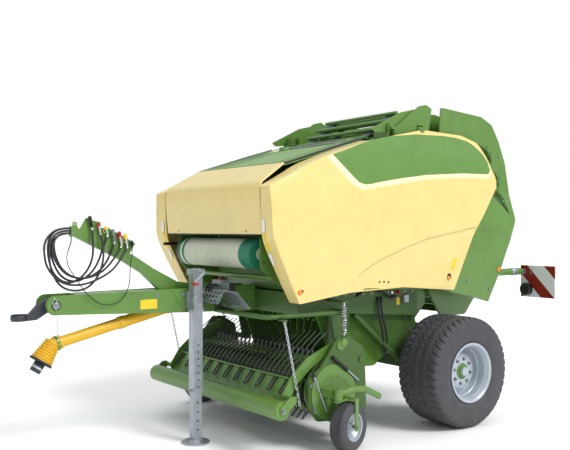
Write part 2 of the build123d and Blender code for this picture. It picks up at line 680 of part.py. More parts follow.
def pickup():
    """The pick-up's side plates and cross tube, which swing on the pins under the side beams."""
    # x, z, corner radius
    side = [(1298, 950, 30), (1130, 850, 60), (1098, 656, 60), (1085, 275, 30), (1180, 250, 40), (1500, 236, 60),
            (1650, 246, 40), (1752, 380, 40), (1752, 620, 40), (1620, 700, 60), (1514, 830, 60), (1420, 950, 30)]
    shape = block(1095, 1147, -SIDE_Y0, SIDE_Y0, 275, 330)
    for flip in (1, -1):
        shape += plate(side, flip * SIDE_Y0, flip * SIDE_Y1)
        shape += block(SPRING_X - 30, SPRING_X + 30, flip * (SPRING_Y - 25), flip * SIDE_Y0, 938, 950)
        shape += disc(1735, CHAIN_END_Z, 10, flip * (CHAIN_Y - 5), flip * (SIDE_Y0 + 5))
        shape += rod((1730, flip * CHAIN_Y, CHAIN_END_Z), (CHAIN_END_X + 14, flip * CHAIN_Y, CHAIN_END_Z), 10)
    for x, z, r in ((REEL_X, REEL_Z, 40), (PICK_X, PICK_Z, PICK_PIN_R), (GUARD_X, GUARD_Z, GUARD_ROD_R)):
        shape -= disc(x, z, r + PIN_GAP, -2000, 2000)
    shape = shape.fuse(*reel_bands())
    save("pickup_frame", shape)


def reel_bands():
    """The bands round the reel that its tines pass between, held by the cross tube."""
    arc = [math.radians(a) for a in range(165, -45, -15)]
    outer = [(REEL_X + BAND_R * math.cos(a), REEL_Z + BAND_R * math.sin(a)) for a in arc]
    inner = [(REEL_X + (BAND_R - BAND_T) * math.cos(a), REEL_Z + (BAND_R - BAND_T) * math.sin(a)) for a in arc]
    ring = [(1120, 290), (1120, 320)] + outer + inner[::-1] + [(1147, 280)]
    pitch = (2 * REEL_HALF_W - 80) / (REEL_ROWS - 1)
    shapes = []
    for i in range(REEL_ROWS - 1):
        y = -REEL_HALF_W + 40 + (i + 0.5) * pitch
        shapes.append(sharp(ring, y - BAND_W / 2, y + BAND_W / 2))
    return shapes


def reel():
    """The pick-up reel: a shaft, end spiders, tine bars and double tines."""
    shape = disc(REEL_X, REEL_Z, 40, -SIDE_Y1 - 20, SIDE_Y1 + 20)
    for y in (-REEL_HALF_W, 0, REEL_HALF_W):
        shape += disc(REEL_X, REEL_Z, REEL_BAR_R + 20, y - 5, y + 5)
    bars = []
    tines = []
    base = REEL_BAR_R + 15 - TINE_R
    for k in range(REEL_BARS):
        a = 2 * math.pi * k / REEL_BARS + 0.5
        bars.append(disc(REEL_X + REEL_BAR_R * math.cos(a), REEL_Z + REEL_BAR_R * math.sin(a), 15, -REEL_HALF_W,
                         REEL_HALF_W))
        for i in range(REEL_ROWS):
            y = -REEL_HALF_W + 40 + i * (2 * REEL_HALF_W - 80) / (REEL_ROWS - 1)
            start = (REEL_X + base * math.cos(a), y, REEL_Z + base * math.sin(a))
            end = (REEL_X + REEL_TIP_R * math.cos(a), y, REEL_Z + REEL_TIP_R * math.sin(a))
            tines.append(rod(start, end, TINE_R))
    save("pickup_reel", shape.fuse(*bars, *tines))


def crop_guard():
    """The crop guard in front: pivots, arms and plate, with its comb and the roller."""
    reach = SIDE_Y1 + 10
    inner = GUARD_HALF_W - 14
    end = ROLLER_HALF_W + 8
    # x, z, corner radius
    arm = [(GUARD_X - 30, GUARD_Z + 28, 20), (GUARD_X - 30, GUARD_Z - 28, 20), (1650, 700, 60), (1810, 580, 40),
           (1900, ROLLER_Z + 45, 20), (1962, ROLLER_Z + 40, 15), (1972, ROLLER_Z + 100, 30), (1870, 650, 40),
           (1700, 790, 60)]
    bracket = [(ROLLER_X + 30, ROLLER_Z - 30, 25), (ROLLER_X + 30, ROLLER_Z + 30, 25), (1990, ROLLER_Z + 110, 20),
               (1925, ROLLER_Z + 110, 20), (1925, ROLLER_Z + 60, 20), (ROLLER_X - 30, ROLLER_Z - 30, 25)]
    shape = sheet([(1962, ROLLER_Z + 36), (1925, ROLLER_Z + 70), (RAIL_X + 9, RAIL_Z - 11)], -6, -inner, inner)
    for flip in (1, -1):
        shape += plate(arm, flip * inner, flip * GUARD_HALF_W)
        shape += disc(GUARD_X, GUARD_Z, GUARD_ROD_R, flip * inner, flip * reach)
        shape += plate(bracket, flip * end, flip * (end + 12))
        shape += block(1930, 1960, flip * inner, flip * (end + 12), ROLLER_Z + 65, ROLLER_Z + 100)
        shape += disc(ROLLER_X, ROLLER_Z, ROLLER_PIN_R, flip * (end - 70), flip * (end + 12))
    shape += disc(RAIL_X, RAIL_Z, RAIL_R, -inner, inner)
    for i in range(GUARD_SPRINGS):
        y = (i / (GUARD_SPRINGS - 1) - 0.5) * 1800
        high = (RAIL_X + 11, RAIL_Z - 3)
        low = (1938, ROLLER_Z + 102)
        bend = [(high[0], y - 22, high[1]), (low[0], y - 22, low[1]), (low[0], y + 22, low[1]),
                (high[0], y + 22, high[1])]
        shape += tube(bend, 5, [18, 18])
    save("guard_frame", shape)
    comb = []
    slope = math.atan2(COMB_END_Z - RAIL_Z, RAIL_X - COMB_END_X)
    start = RAIL_R + SEAT
    for i in range(COMB_ROWS):
        y = -930 + i * 1860 / (COMB_ROWS - 1)
        comb.append(rod((RAIL_X - start * math.cos(slope), y, RAIL_Z + start * math.sin(slope)),
                        (COMB_END_X, y, COMB_END_Z), 5))
    save("guard_comb", *comb)
    roller = disc(ROLLER_X, ROLLER_Z, ROLLER_R, -ROLLER_HALF_W, ROLLER_HALF_W)
    save("crop_roller", roller - disc(ROLLER_X, ROLLER_Z, ROLLER_PIN_R + PIN_GAP, -2000, 2000))


def gauge_wheels():
    """The pick-up's two castering gauge wheels with their forks and brackets."""
    z_wheel = GAUGE_D / 2
    half = GAUGE_W / 2
    brackets = []
    for side, flip in (("left", 1), ("right", -1)):
        turn = Pos(CASTER_X, flip * CASTER_Y, 0) * Rot(0, 0, flip * CASTER_TURN)
        hold = block(CASTER_X - 45, CASTER_X + 45, flip * SIDE_Y1, flip * (CASTER_Y - 30), 472, 540)
        hold += Pos(CASTER_X, flip * CASTER_Y, 505) * Cylinder(36, 90)
        hold += tube([(CASTER_X - 10, flip * CASTER_Y, 505), (1420, flip * CASTER_Y, 530),
                      (1290, flip * CASTER_Y, 520), (1110, flip * CASTER_Y, 430)], 27, [120, 80])
        hold -= Pos(CASTER_X, flip * CASTER_Y, 505) * Cylinder(CASTER_PIN_R + PIN_GAP, 200)
        brackets.append(hold)
        fork = Pos(0, 0, 500) * Cylinder(CASTER_PIN_R, 130)
        fork += block(-GAUGE_TRAIL - 30, 30, -20, 20, 436, 456)
        for y in (-half - 16, half + 16):
            fork += block(-GAUGE_TRAIL - 25, -GAUGE_TRAIL + 25, y - 5, y + 5, z_wheel - 30, 456)
        fork += block(-GAUGE_TRAIL - 25, -GAUGE_TRAIL + 25, -half - 21, half + 21, 440, 456)
        fork += Pos(-GAUGE_TRAIL, 0, z_wheel) * Rot(90, 0, 0) * Cylinder(GAUGE_PIN_R, GAUGE_W + 60)
        save(f"caster_fork_{side}", turn * fork)
        # radius, y from the wheel's middle
        outer = [(GAUGE_D / 2, half - 35), (196, half - 9), (160, half)]
        tyre = carcass(outer, GAUGE_RIM_R + SEAT, GAUGE_RIM_R + 14, half - 8, GAUGE_SIDES)
        rim = [(GAUGE_PIN_R + PIN_GAP, -45), (32, -45), (34, 0), (90, 15), (GAUGE_RIM_R - 8, -half + 8),
               (GAUGE_RIM_R, -half + 10), (GAUGE_RIM_R, half - 10), (GAUGE_RIM_R - 8, half - 8), (95, 35),
               (34, 20), (32, 45), (GAUGE_PIN_R + PIN_GAP, 45)]
        spot = turn * Pos(-GAUGE_TRAIL, 0, 0)
        save(f"gauge_tyre_{side}", spot * Pos(0, 0, z_wheel) * tyre)
        save(f"gauge_rim_{side}", spot * turned(rim, 0, z_wheel))
    save("caster_brackets", *brackets)


def jack():
    """The parking jack: outer tube and head on the drawbar, and the sliding leg with its foot."""
    outer = JACK_OUT / 2
    cavity = outer - JACK_WALL
    body = block(JACK_X - outer, JACK_X + outer, JACK_Y - outer, JACK_Y + outer, JACK_LOW, JACK_TOP)
    body -= block(JACK_X - cavity, JACK_X + cavity, JACK_Y - cavity, JACK_Y + cavity, JACK_LOW - 5, JACK_TOP - 12)
    body += block(JACK_X - 60, JACK_X + 60, BAR_OUT, JACK_Y - outer, 1190, 1340)
    body += block(JACK_X - outer - 14, JACK_X + outer + 14, JACK_Y - outer - 14, JACK_Y + outer + 14, JACK_TOP,
                  JACK_TOP + 55)
    crank_y = JACK_Y + CRANK_REACH
    head = (JACK_X, crank_y, JACK_TOP + 28)
    grip = (JACK_X + 105, crank_y, JACK_TOP - 65)
    body += disc(JACK_X, JACK_TOP + 26, 36, JACK_Y, JACK_Y + outer + 26)
    body += rod((JACK_X, JACK_Y, JACK_TOP + 28), (JACK_X, crank_y + CRANK_R, JACK_TOP + 28), CRANK_R)
    body += rod(head, grip, CRANK_R)
    body += disc(grip[0], grip[2], CRANK_R + 4, crank_y - CRANK_R, crank_y + 60)
    save("jack_tube", body)
    inner = cavity - JACK_PLAY
    leg = block(JACK_X - inner, JACK_X + inner, JACK_Y - inner, JACK_Y + inner, FOOT_T, 1100)
    save("jack_leg", leg + Pos(JACK_X, JACK_Y, FOOT_T / 2) * Cylinder(FOOT_R, FOOT_T))


def drive_shaft():
    """The telescopic drive shaft in its guard tube, its bell guard, the free yoke and the gearbox."""
    back = (SHAFT_BACK[0], 0, SHAFT_BACK[1])
    front = (SHAFT_FRONT[0], 0, SHAFT_FRONT[1])
    bell_plane = Plane(origin=front, z_dir=(BELL_DIR[0], 0, BELL_DIR[1]))
    bell = loft([bell_plane.offset(-20) * Circle(66), bell_plane.offset(BELL_LEN) * Circle(98)])
    for k in range(BELL_RIBS):
        t = -16 + k * 26
        rib_r = 66 + 32 * (t + 24) / (BELL_LEN + 20) + 4
        bell += extrude(bell_plane.offset(t) * Circle(rib_r), amount=8)
    bell -= loft([bell_plane.offset(30) * Circle(62), bell_plane.offset(BELL_LEN + 1) * Circle(90)])
    tube_part = rod(back, front, SHAFT_TUBE_R) - extrude(bell_plane.offset(30) * Circle(60), amount=200)
    save("shaft_tube", tube_part + bell)
    yoke = extrude(bell_plane.offset(30 + PIN_GAP) * Circle(34), amount=BELL_LEN - 60)
    yoke += extrude(bell_plane.offset(BELL_LEN - 40) * Circle(YOKE_R), amount=YOKE_LEN + 40)
    yoke -= extrude(bell_plane.offset(BELL_LEN + YOKE_LEN - YOKE_BORE_L) * Circle(YOKE_BORE_R), amount=YOKE_BORE_L + 5)
    save("shaft_yoke", yoke)
    along_shaft = (Vector(*back) - Vector(*front)).normalized()
    inside = Vector(*back) + along_shaft * 60
    gearbox = block(1760, 2215, -BAR_IN, BAR_IN, 1150, 1340)
    save("gearbox", gearbox + rod(back, (inside.X, 0, inside.Z), 34))


def hose_arm():
    """The channel over the drawbar that carries the hoses, with its holder plate, its ear and the end clamp."""
    # x, z, corner radius
    arm = [(2245, BAR_TOP - BAR_SINK + SEAT, 0), (2620, BAR_TOP - BAR_SINK + SEAT, 20), (2785, 1512, 120), (2968, 1623, 0),
           (3425, 1850, 0), (3425, 1925, 0), (2859, 1668, 100), (2674, 1552, 80), (2432, 1425, 40), (2245, 1400, 0)]
    holder = [(3240, 1760, 0), (2930, 1640, 0), (2850, 1776, 6), (3102, 1911, 0), (3172, 1911, 0), (3188, 1962, 10),
              (3250, 1975, 0), (3262, 2003, 10), (3308, 1990, 10), (3366, 1890, 0)]
    ear = [(3340, 1880, 0), (3380, 1920, 0), (3384, 1958, 14), (3418, 1966, 14), (3424, 1900, 0)]
    hollow = offset(outline(arm), -ARM_T)
    shape = plate(arm, ARM_Y0, ARM_Y1) - Pos(0, ARM_Y0 - 1, 0) * extrude(
        hollow, amount=ARM_Y1 - ARM_Y0 - ARM_T + 1, dir=(0, 1, 0))
    shape += plate(holder, ARM_Y1 - ARM_T, ARM_Y1)
    shape += plate(ear, ARM_Y1 - ARM_T, ARM_Y1) - disc(3402, 1944, 7, ARM_Y0, ARM_Y1 + 5)
    save("hose_arm", shape + block(HOSE_END_X - CLAMP_T, HOSE_END_X, ARM_Y0, ARM_Y1, CLAMP_Z0, CLAMP_Z1))


# the route of each hose from its coupling's foot to the clamp: x, y, z
HOSE_1 = (
    (3262, HOSE_Y, 1890), (3260, 50, 1790), (3265, 64, 1685), (3295, 68, 1590), (3360, 68, 1505),
    (3450, 68, 1455), (3545, 68, 1475), (3615, 68, 1550), (3645, 64, 1650), (3640, 28, 1745),
    (3610, -24, 1830), (3535, HOSE_Y0, HOSE_ROWS[0]), (HOSE_END_X, HOSE_Y0, HOSE_ROWS[0]))
HOSE_2 = (
    (3185, HOSE_Y, 1850), (3175, 64, 1750), (3190, 108, 1655), (3220, 112, 1550), (3275, 112, 1460),
    (3360, 112, 1400), (3470, 112, 1395), (3565, 112, 1435), (3625, 112, 1525), (3655, 112, 1625),
    (3645, 78, 1725), (3615, 14, 1805), (3535, HOSE_Y1, HOSE_ROWS[1]), (HOSE_END_X, HOSE_Y1, HOSE_ROWS[1]))
HOSE_3 = (
    (3130, HOSE_Y, 1830), (3170, 38, 1735), (3205, 44, 1635), (3260, 46, 1545), (3345, 46, 1480),
    (3445, 46, 1465), (3535, 46, 1510), (3590, 44, 1600), (3615, 30, 1700), (3600, -12, 1795),
    (3535, HOSE_Y0, HOSE_ROWS[1]), (HOSE_END_X, HOSE_Y0, HOSE_ROWS[1]))
HOSE_4 = (
    (3065, HOSE_Y, 1770), (3100, 26, 1670), (3155, 24, 1580), (3235, 24, 1515), (3335, 24, 1485),
    (3435, 24, 1505), (3520, 24, 1570), (3568, 18, 1665), (3582, -6, 1778), (3550, -26, 1834),
    (3494, HOSE_Y0, HOSE_ROWS[2]), (HOSE_END_X, HOSE_Y0, HOSE_ROWS[2]))
HOSE_5 = (
    (3005, HOSE_Y, 1740), (3065, 62, 1665), (3135, 82, 1590), (3215, 90, 1530), (3310, 90, 1495),
    (3415, 90, 1495), (3510, 90, 1530), (3580, 90, 1605), (3615, 74, 1700), (3600, 24, 1785),
    (3530, HOSE_Y1, HOSE_ROWS[2]), (HOSE_END_X, HOSE_Y1, HOSE_ROWS[2]))
HOSE_6 = (
    (2950, HOSE_Y, 1725), (3015, 78, 1660), (3080, 118, 1590), (3160, 136, 1530), (3250, 134, 1485),
    (3350, 134, 1450), (3450, 134, 1440), (3550, 134, 1460), (3630, 134, 1520), (3690, 134, 1605),
    (3700, 114, 1705), (3675, 44, 1780), (3620, -6, 1850), (3535, HOSE_Y1, HOSE_ROWS[0]),
    (HOSE_END_X, HOSE_Y1, HOSE_ROWS[0]))
CABLE = (
    (2895, HOSE_Y, 1735), (2900, 48, 1682), (2930, 92, 1640), (2958, 128, 1585), (2965, 140, 1525),
    (2970, 146, 1455), (2990, 148, 1385), (3025, 150, 1325), (3080, 150, 1280), (3150, 150, 1265),
    (3220, 150, 1270), (3285, 152, 1305), (3335, 152, 1350), (3385, 154, 1400), (3425, 156, 1462),
    (3470, 146, 1530), (3495, 112, 1586), (3496, 72, 1642), (3480, 34, 1695), (3452, 6, 1742),
    (CABLE_END_X, HOSE_Y1, 1790), (CABLE_END_X, HOSE_Y1, CLAMP_Z0))
ROUTES = (HOSE_1, HOSE_2, HOSE_3, HOSE_4, HOSE_5, HOSE_6, CABLE)


# x, z of the coupling's top and its radius, in the order of the routes
COUPLINGS = ((3285, 2010, 15), (3203, 1960, 13), (3142, 1925, 13), (3078, 1900, 15), (3018, 1880, 15),
             (2962, 1860, 15), (2903, 1800, 14))
SLEEVE_L = 26


def couplings():
    """The plugs and couplings parked in the holder, each with a sleeve that its hose meets face to face."""
    shapes = []
    for (x1, z1, r), route in zip(COUPLINGS, ROUTES):
        foot = Vector(*route[0])
        back = (foot - Vector(*route[1])).normalized()
        top = Vector(x1, HOSE_Y, z1)
        start = foot + back * SLEEVE_L
        hose_r = CABLE_R if route is CABLE else HOSE_R
        shape = rod(foot, start + back * 3, hose_r + 2)
        shape += rod(start + (top - start).normalized() * -4, top, r)
        middle = (start + top) / 2
        shapes.append(shape + disc(middle.X, middle.Z, 6, ARM_Y1, HOSE_Y))
    save("couplings", *shapes)


def hoses():
    """The hoses and the cable, each a tube of straight runs and arcs as large as the runs allow."""
    for i, points in enumerate(ROUTES[:-1]):
        cord(f"hose_{i + 1}", points, HOSE_R)
    cord("cable", CABLE, CABLE_R)


def cord(name, points, r):
    """One free hose or cable, with its radii printed."""
    spots = [Vector(*p) for p in points]
    radii = []
    for before, here, after in zip(spots, spots[1:], spots[2:]):
        turn = math.radians((here - before).get_angle(after - here))
        run = min((here - before).length, (after - here).length)
        radii.append(0.45 * run / math.tan(turn / 2))
    path = FilletPolyline(*points, radius=radii)
    solid = tube(points, r, radii)
    ratio = solid.volume / (math.pi * r * r * path.length)
    print(name, "length", round(path.length), "volume ratio", round(ratio, 4), "radii", [round(v) for v in radii])
    save(name, solid)


def step_plates():
    """The slotted step beside the jack."""
    shape = sheet([(2290, 1250), (2225, 1362), (2090, 1335), (1950, 1185)], -5, BAR_OUT, 470)
    for y in STEP_SLOTS:
        for x0, x1 in ((1980, 2060), (2108, 2148), (2164, 2204)):
            shape -= block(x0, x1, y - 16, y + 16, 1180, 1400)
    save("step_plate", shape)


def boards():
    """The rear warning boards on their arms, with round lamps."""
    arms = []
    plates = []
    arm_end = -1380
    for flip in (1, -1):
        arm = rod((-900, flip * LIGHT_ARM_Y, LIGHT_ARM_Z), (arm_end, flip * LIGHT_ARM_Y, LIGHT_ARM_Z), LIGHT_ARM_R)
        arms.append(arm + disc(-925, LIGHT_ARM_Z, 22, flip * (TAIL_OUT + SEAT), flip * LIGHT_ARM_Y))
        board = block(BOARD_X, BOARD_X + BOARD_T, flip * BOARD_Y0, flip * BOARD_Y1, BOARD_Z0, BOARD_Z1)
        board += block(BOARD_X + BOARD_T, arm_end - SEAT, flip * (LIGHT_ARM_Y - 30), flip * (LIGHT_ARM_Y + 50),
                       LIGHT_ARM_Z - 30, LIGHT_ARM_Z + 30)
        front = BOARD_X + BOARD_T
        plates.append(board + rod((front, flip * 960, 1240), (front + 60, flip * 960, 1240), 65))
    save("light_arms", *arms)
    save("warning_boards", *plates)


def chain(start, end):
    """A chain of flat links between two points, each link turned a quarter from the last."""
    start = Vector(*start)
    end = Vector(*end)
    way = (end - start).normalized()
    pitch = ((end - start).length - LINK_LAP) / CHAIN_LINKS
    shape = None
    for i in range(CHAIN_LINKS):
        plane = Plane(origin=start + way * (i * pitch), x_dir=(0, 1, 0), z_dir=way)
        wide, thin = (LINK_W, LINK_T) if i % 2 == 0 else (LINK_T, LINK_W)
        link = extrude(plane * Rectangle(wide, thin), amount=pitch + LINK_LAP)
        shape = link if shape is None else shape + link
    return shape


def chains_and_springs():
    """The chains and relief springs that hang the pick-up from the chassis."""
    chains = []
    springs = []
    for flip in (1, -1):
        chains.append(chain((CHAIN_X, flip * CHAIN_Y, CHAIN_TOP - 1.2), (CHAIN_END_X, flip * CHAIN_Y, CHAIN_END_Z + 11.3)))
        springs.append(rod((SPRING_X, flip * SPRING_Y, SPRING_TOP - SEAT), (SPRING_X, flip * SPRING_Y, 950 + SEAT), 22))
    save("pickup_chains", *chains)
    save("relief_springs", *springs)


def main():
    os.makedirs("parts", exist_ok=True)
    main_wheels()
    axle()
    drawbar()
    tow_eye()
    chassis()
    front_bars()
    housing()
    conveyors()
    tailgate()
    doors()
    hood()
    net_wrap()
    feed_rotor()
    pickup()
    reel()
    crop_guard()
    gauge_wheels()
    jack()
    drive_shaft()
    hose_arm()
    couplings()
    hoses()
    step_plates()
    boards()
    chains_and_springs()


main()
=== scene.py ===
"""Looks for the round baler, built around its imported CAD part.

Places are working millimetres, as in the part's source: X forward from the wheel axle, Y left, Z up from the
ground. spot() turns them into the row frame in metres.
"""

import math

import bmesh
import bpy
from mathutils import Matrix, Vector
from mathutils.geometry import delaunay_2d_cdt


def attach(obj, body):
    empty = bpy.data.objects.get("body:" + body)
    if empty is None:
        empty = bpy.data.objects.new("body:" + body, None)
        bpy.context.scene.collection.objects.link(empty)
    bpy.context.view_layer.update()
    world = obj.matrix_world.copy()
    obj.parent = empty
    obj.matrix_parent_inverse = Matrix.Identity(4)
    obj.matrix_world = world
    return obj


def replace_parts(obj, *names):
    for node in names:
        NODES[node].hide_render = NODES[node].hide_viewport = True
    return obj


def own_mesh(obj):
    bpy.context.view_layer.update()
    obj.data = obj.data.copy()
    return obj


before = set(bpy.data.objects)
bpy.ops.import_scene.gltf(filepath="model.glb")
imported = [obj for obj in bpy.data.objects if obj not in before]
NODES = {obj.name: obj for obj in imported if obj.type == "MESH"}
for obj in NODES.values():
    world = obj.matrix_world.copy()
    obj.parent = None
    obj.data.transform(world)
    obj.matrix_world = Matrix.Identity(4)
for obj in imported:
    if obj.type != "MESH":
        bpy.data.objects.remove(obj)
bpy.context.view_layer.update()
SCENE = bpy.context.scene
SHIFT = 1250
OUT = (0, 1, 0)
SIDES = (("left", 1), ("right", -1))
SCENE.view_settings.view_transform = "Standard"


def spot(x, y, z):
    """A working place as a point in the row frame."""
    return Vector(((x - SHIFT) / 1000, y / 1000, z / 1000))


def link(obj):
    """Put an object into the scene."""
    SCENE.collection.objects.link(obj)
    return obj


# Camera
camera = link(bpy.data.objects.new("camera", bpy.data.cameras.new("camera")))
camera.location = (4.673, 6.301, 1.909)
camera.rotation_euler = Vector((-0.599, -0.801, 0.004)).to_track_quat("-Z", "Y").to_euler()
camera.data.lens = 49.68
camera.data.sensor_width = 36
SCENE.camera = camera


# Materials
def linear(value):
    """A display value from 0 to 255 as a linear one."""
    v = value / 255
    return v / 12.92 if v <= 0.04045 else ((v + 0.055) / 1.055) ** 2.4


def shade(rgb, times=1.0):
    """A display colour as a linear one, made lighter or darker."""
    return tuple(min(linear(c) * times, 1) for c in rgb) + (1,)


# finishes by name, as the frame calls its slots
LOOK = {}


def surface(name, rgb, rough, metal=0.0, vary=0.10, bump=0.05, scale=5.0, coat=0.0, dust=0.0):
    """A procedural finish: broad and fine changes of colour and roughness, a fine bump, and dust low down."""
    material = bpy.data.materials.new(name)
    material.use_nodes = True
    LOOK[name] = material
    tree = material.node_tree
    nodes = tree.nodes
    wire = tree.links.new
    shader = nodes["Principled BSDF"]
    place = nodes.new("ShaderNodeTexCoord")
    broad = nodes.new("ShaderNodeTexNoise")
    fine = nodes.new("ShaderNodeTexNoise")
    for noise, size, detail in ((broad, scale, 4), (fine, scale * 22, 3)):
        noise.inputs["Scale"].default_value = size
        noise.inputs["Detail"].default_value = detail
        wire(place.outputs["Object"], noise.inputs["Vector"])
    both = nodes.new("ShaderNodeMath")
    both.operation = "MULTIPLY_ADD"
    wire(fine.outputs["Fac"], both.inputs[0])
    both.inputs[1].default_value = 0.35
    wire(broad.outputs["Fac"], both.inputs[2])
    ramp = nodes.new("ShaderNodeValToRGB")
    for stop, position, times in zip(ramp.color_ramp.elements, (0.35, 1.0), (1 - vary, 1 + vary)):
        stop.position = position
        stop.color = shade(rgb, times)
    wire(both.outputs[0], ramp.inputs["Fac"])
    colour = ramp.outputs["Color"]
    if dust:
        split = nodes.new("ShaderNodeSeparateXYZ")
        wire(place.outputs["Object"], split.inputs[0])
        low = nodes.new("ShaderNodeMapRange")
        low.inputs["From Min"].default_value = 0.9
        low.inputs["From Max"].default_value = 0.0
        low.inputs["To Max"].default_value = dust
        wire(split.outputs["Z"], low.inputs["Value"])
        part = nodes.new("ShaderNodeMath")
        part.operation = "MULTIPLY"
        wire(low.outputs[0], part.inputs[0])
        wire(broad.outputs["Fac"], part.inputs[1])
        mix = nodes.new("ShaderNodeMix")
        mix.data_type = "RGBA"
        wire(part.outputs[0], mix.inputs[0])
        wire(colour, mix.inputs[6])
        mix.inputs[7].default_value = shade((150, 140, 118))
        colour = mix.outputs[2]
    wire(colour, shader.inputs["Base Color"])
    gloss = nodes.new("ShaderNodeMapRange")
    gloss.inputs["To Min"].default_value = max(rough - 0.1, 0.05)
    gloss.inputs["To Max"].default_value = min(rough + 0.1, 1)
    wire(broad.outputs["Fac"], gloss.inputs["Value"])
    wire(gloss.outputs[0], shader.inputs["Roughness"])
    relief = nodes.new("ShaderNodeBump")
    relief.inputs["Strength"].default_value = bump
    relief.inputs["Distance"].default_value = 0.002
    wire(fine.outputs["Fac"], relief.inputs["Height"])
    wire(relief.outputs[0], shader.inputs["Normal"])
    shader.inputs["Metallic"].default_value = metal
    shader.inputs["Coat Weight"].default_value = coat
    return material


GREEN = surface("green", (90, 130, 52), 0.38, vary=0.14, coat=0.25, dust=0.12)
CREAM = surface("cream", (226, 204, 128), 0.33, vary=0.05, coat=0.3)
SAGE = surface("sage", (112, 150, 80), 0.45, vary=0.07)
ZINC = surface("galvanised", (166, 172, 178), 0.42, metal=0.75, vary=0.22, scale=14, bump=0.1)
STEEL = surface("steel", (150, 152, 154), 0.35, metal=0.85, vary=0.2, bump=0.08)
IRON = surface("dark_iron", (66, 70, 74), 0.5, metal=0.6, vary=0.2, bump=0.2)
RIM_GREY = surface("rim_grey", (178, 186, 194), 0.36, metal=0.25, vary=0.08, coat=0.2)
TYRE = surface("tyre", (66, 67, 71), 0.72, vary=0.22, bump=0.25, scale=9, dust=0.08)
RUBBER = surface("black_rubber", (34, 34, 36), 0.55, vary=0.2, bump=0.15, scale=12)
PLASTIC = surface("yellow_plastic", (220, 172, 34), 0.42, vary=0.07, bump=0.08)
NET = surface("net", (196, 200, 178), 0.7, vary=0.12, bump=0.4, scale=16)
BOARD = surface("board", (214, 216, 214), 0.4, vary=0.05)
# painted shade: a darker copy of the green paint, put on parts that lie in shade
SHADED_GREEN = surface("dark_green", (64, 94, 38), 0.45, vary=0.15)
SWOOSH = surface("swoosh_green", (92, 134, 54), 0.36, vary=0.06, coat=0.3)
PALE = surface("pale_cream", (246, 234, 184), 0.35, vary=0.04, coat=0.2)
TEAL = surface("teal", (24, 112, 84), 0.5, vary=0.12)
BELT = surface("belt", (58, 72, 84), 0.6, vary=0.16, bump=0.3, scale=14)
RED = surface("red", (172, 34, 20), 0.4, vary=0.1)
BOARD_RED = surface("board_red", (126, 24, 12), 0.42, vary=0.1)
YELLOW = surface("yellow", (232, 196, 40), 0.45, vary=0.08)
ORANGE = surface("orange", (226, 132, 24), 0.3, vary=0.1, coat=0.5)
WHITE = surface("white", (232, 232, 226), 0.45, vary=0.04)
GREY = surface("grey", (112, 126, 118), 0.5, vary=0.12)
BLACK = surface("black", (22, 22, 24), 0.45, vary=0.2)
CHROME = surface("chrome", (200, 204, 208), 0.2, metal=0.95, vary=0.1)
TINE = surface("tine", (84, 86, 84), 0.4, metal=0.7, vary=0.25)
# painted shadow: a near-black finish that stands for shade
SHADOW = surface("recess", (16, 20, 14), 0.8, vary=0.2)

for node in NODES.values():
    for i, material in enumerate(node.data.materials):
        node.data.materials[i] = LOOK[material.name.split(".")[0]]
# painted shade: the chassis, axle, pick-up frame, chamber sheets and front bars swap green for the darker,
# shaded green
for name in ("chassis", "axle", "pickup_frame", "chamber_sheets", "front_bars"):
    for i, material in enumerate(NODES[name].data.materials):
        NODES[name].data.materials[i] = SHADED_GREEN if material == GREEN else material
for name in ("belts_front", "belts_rear"):
    NODES[name].data.materials[0] = BELT


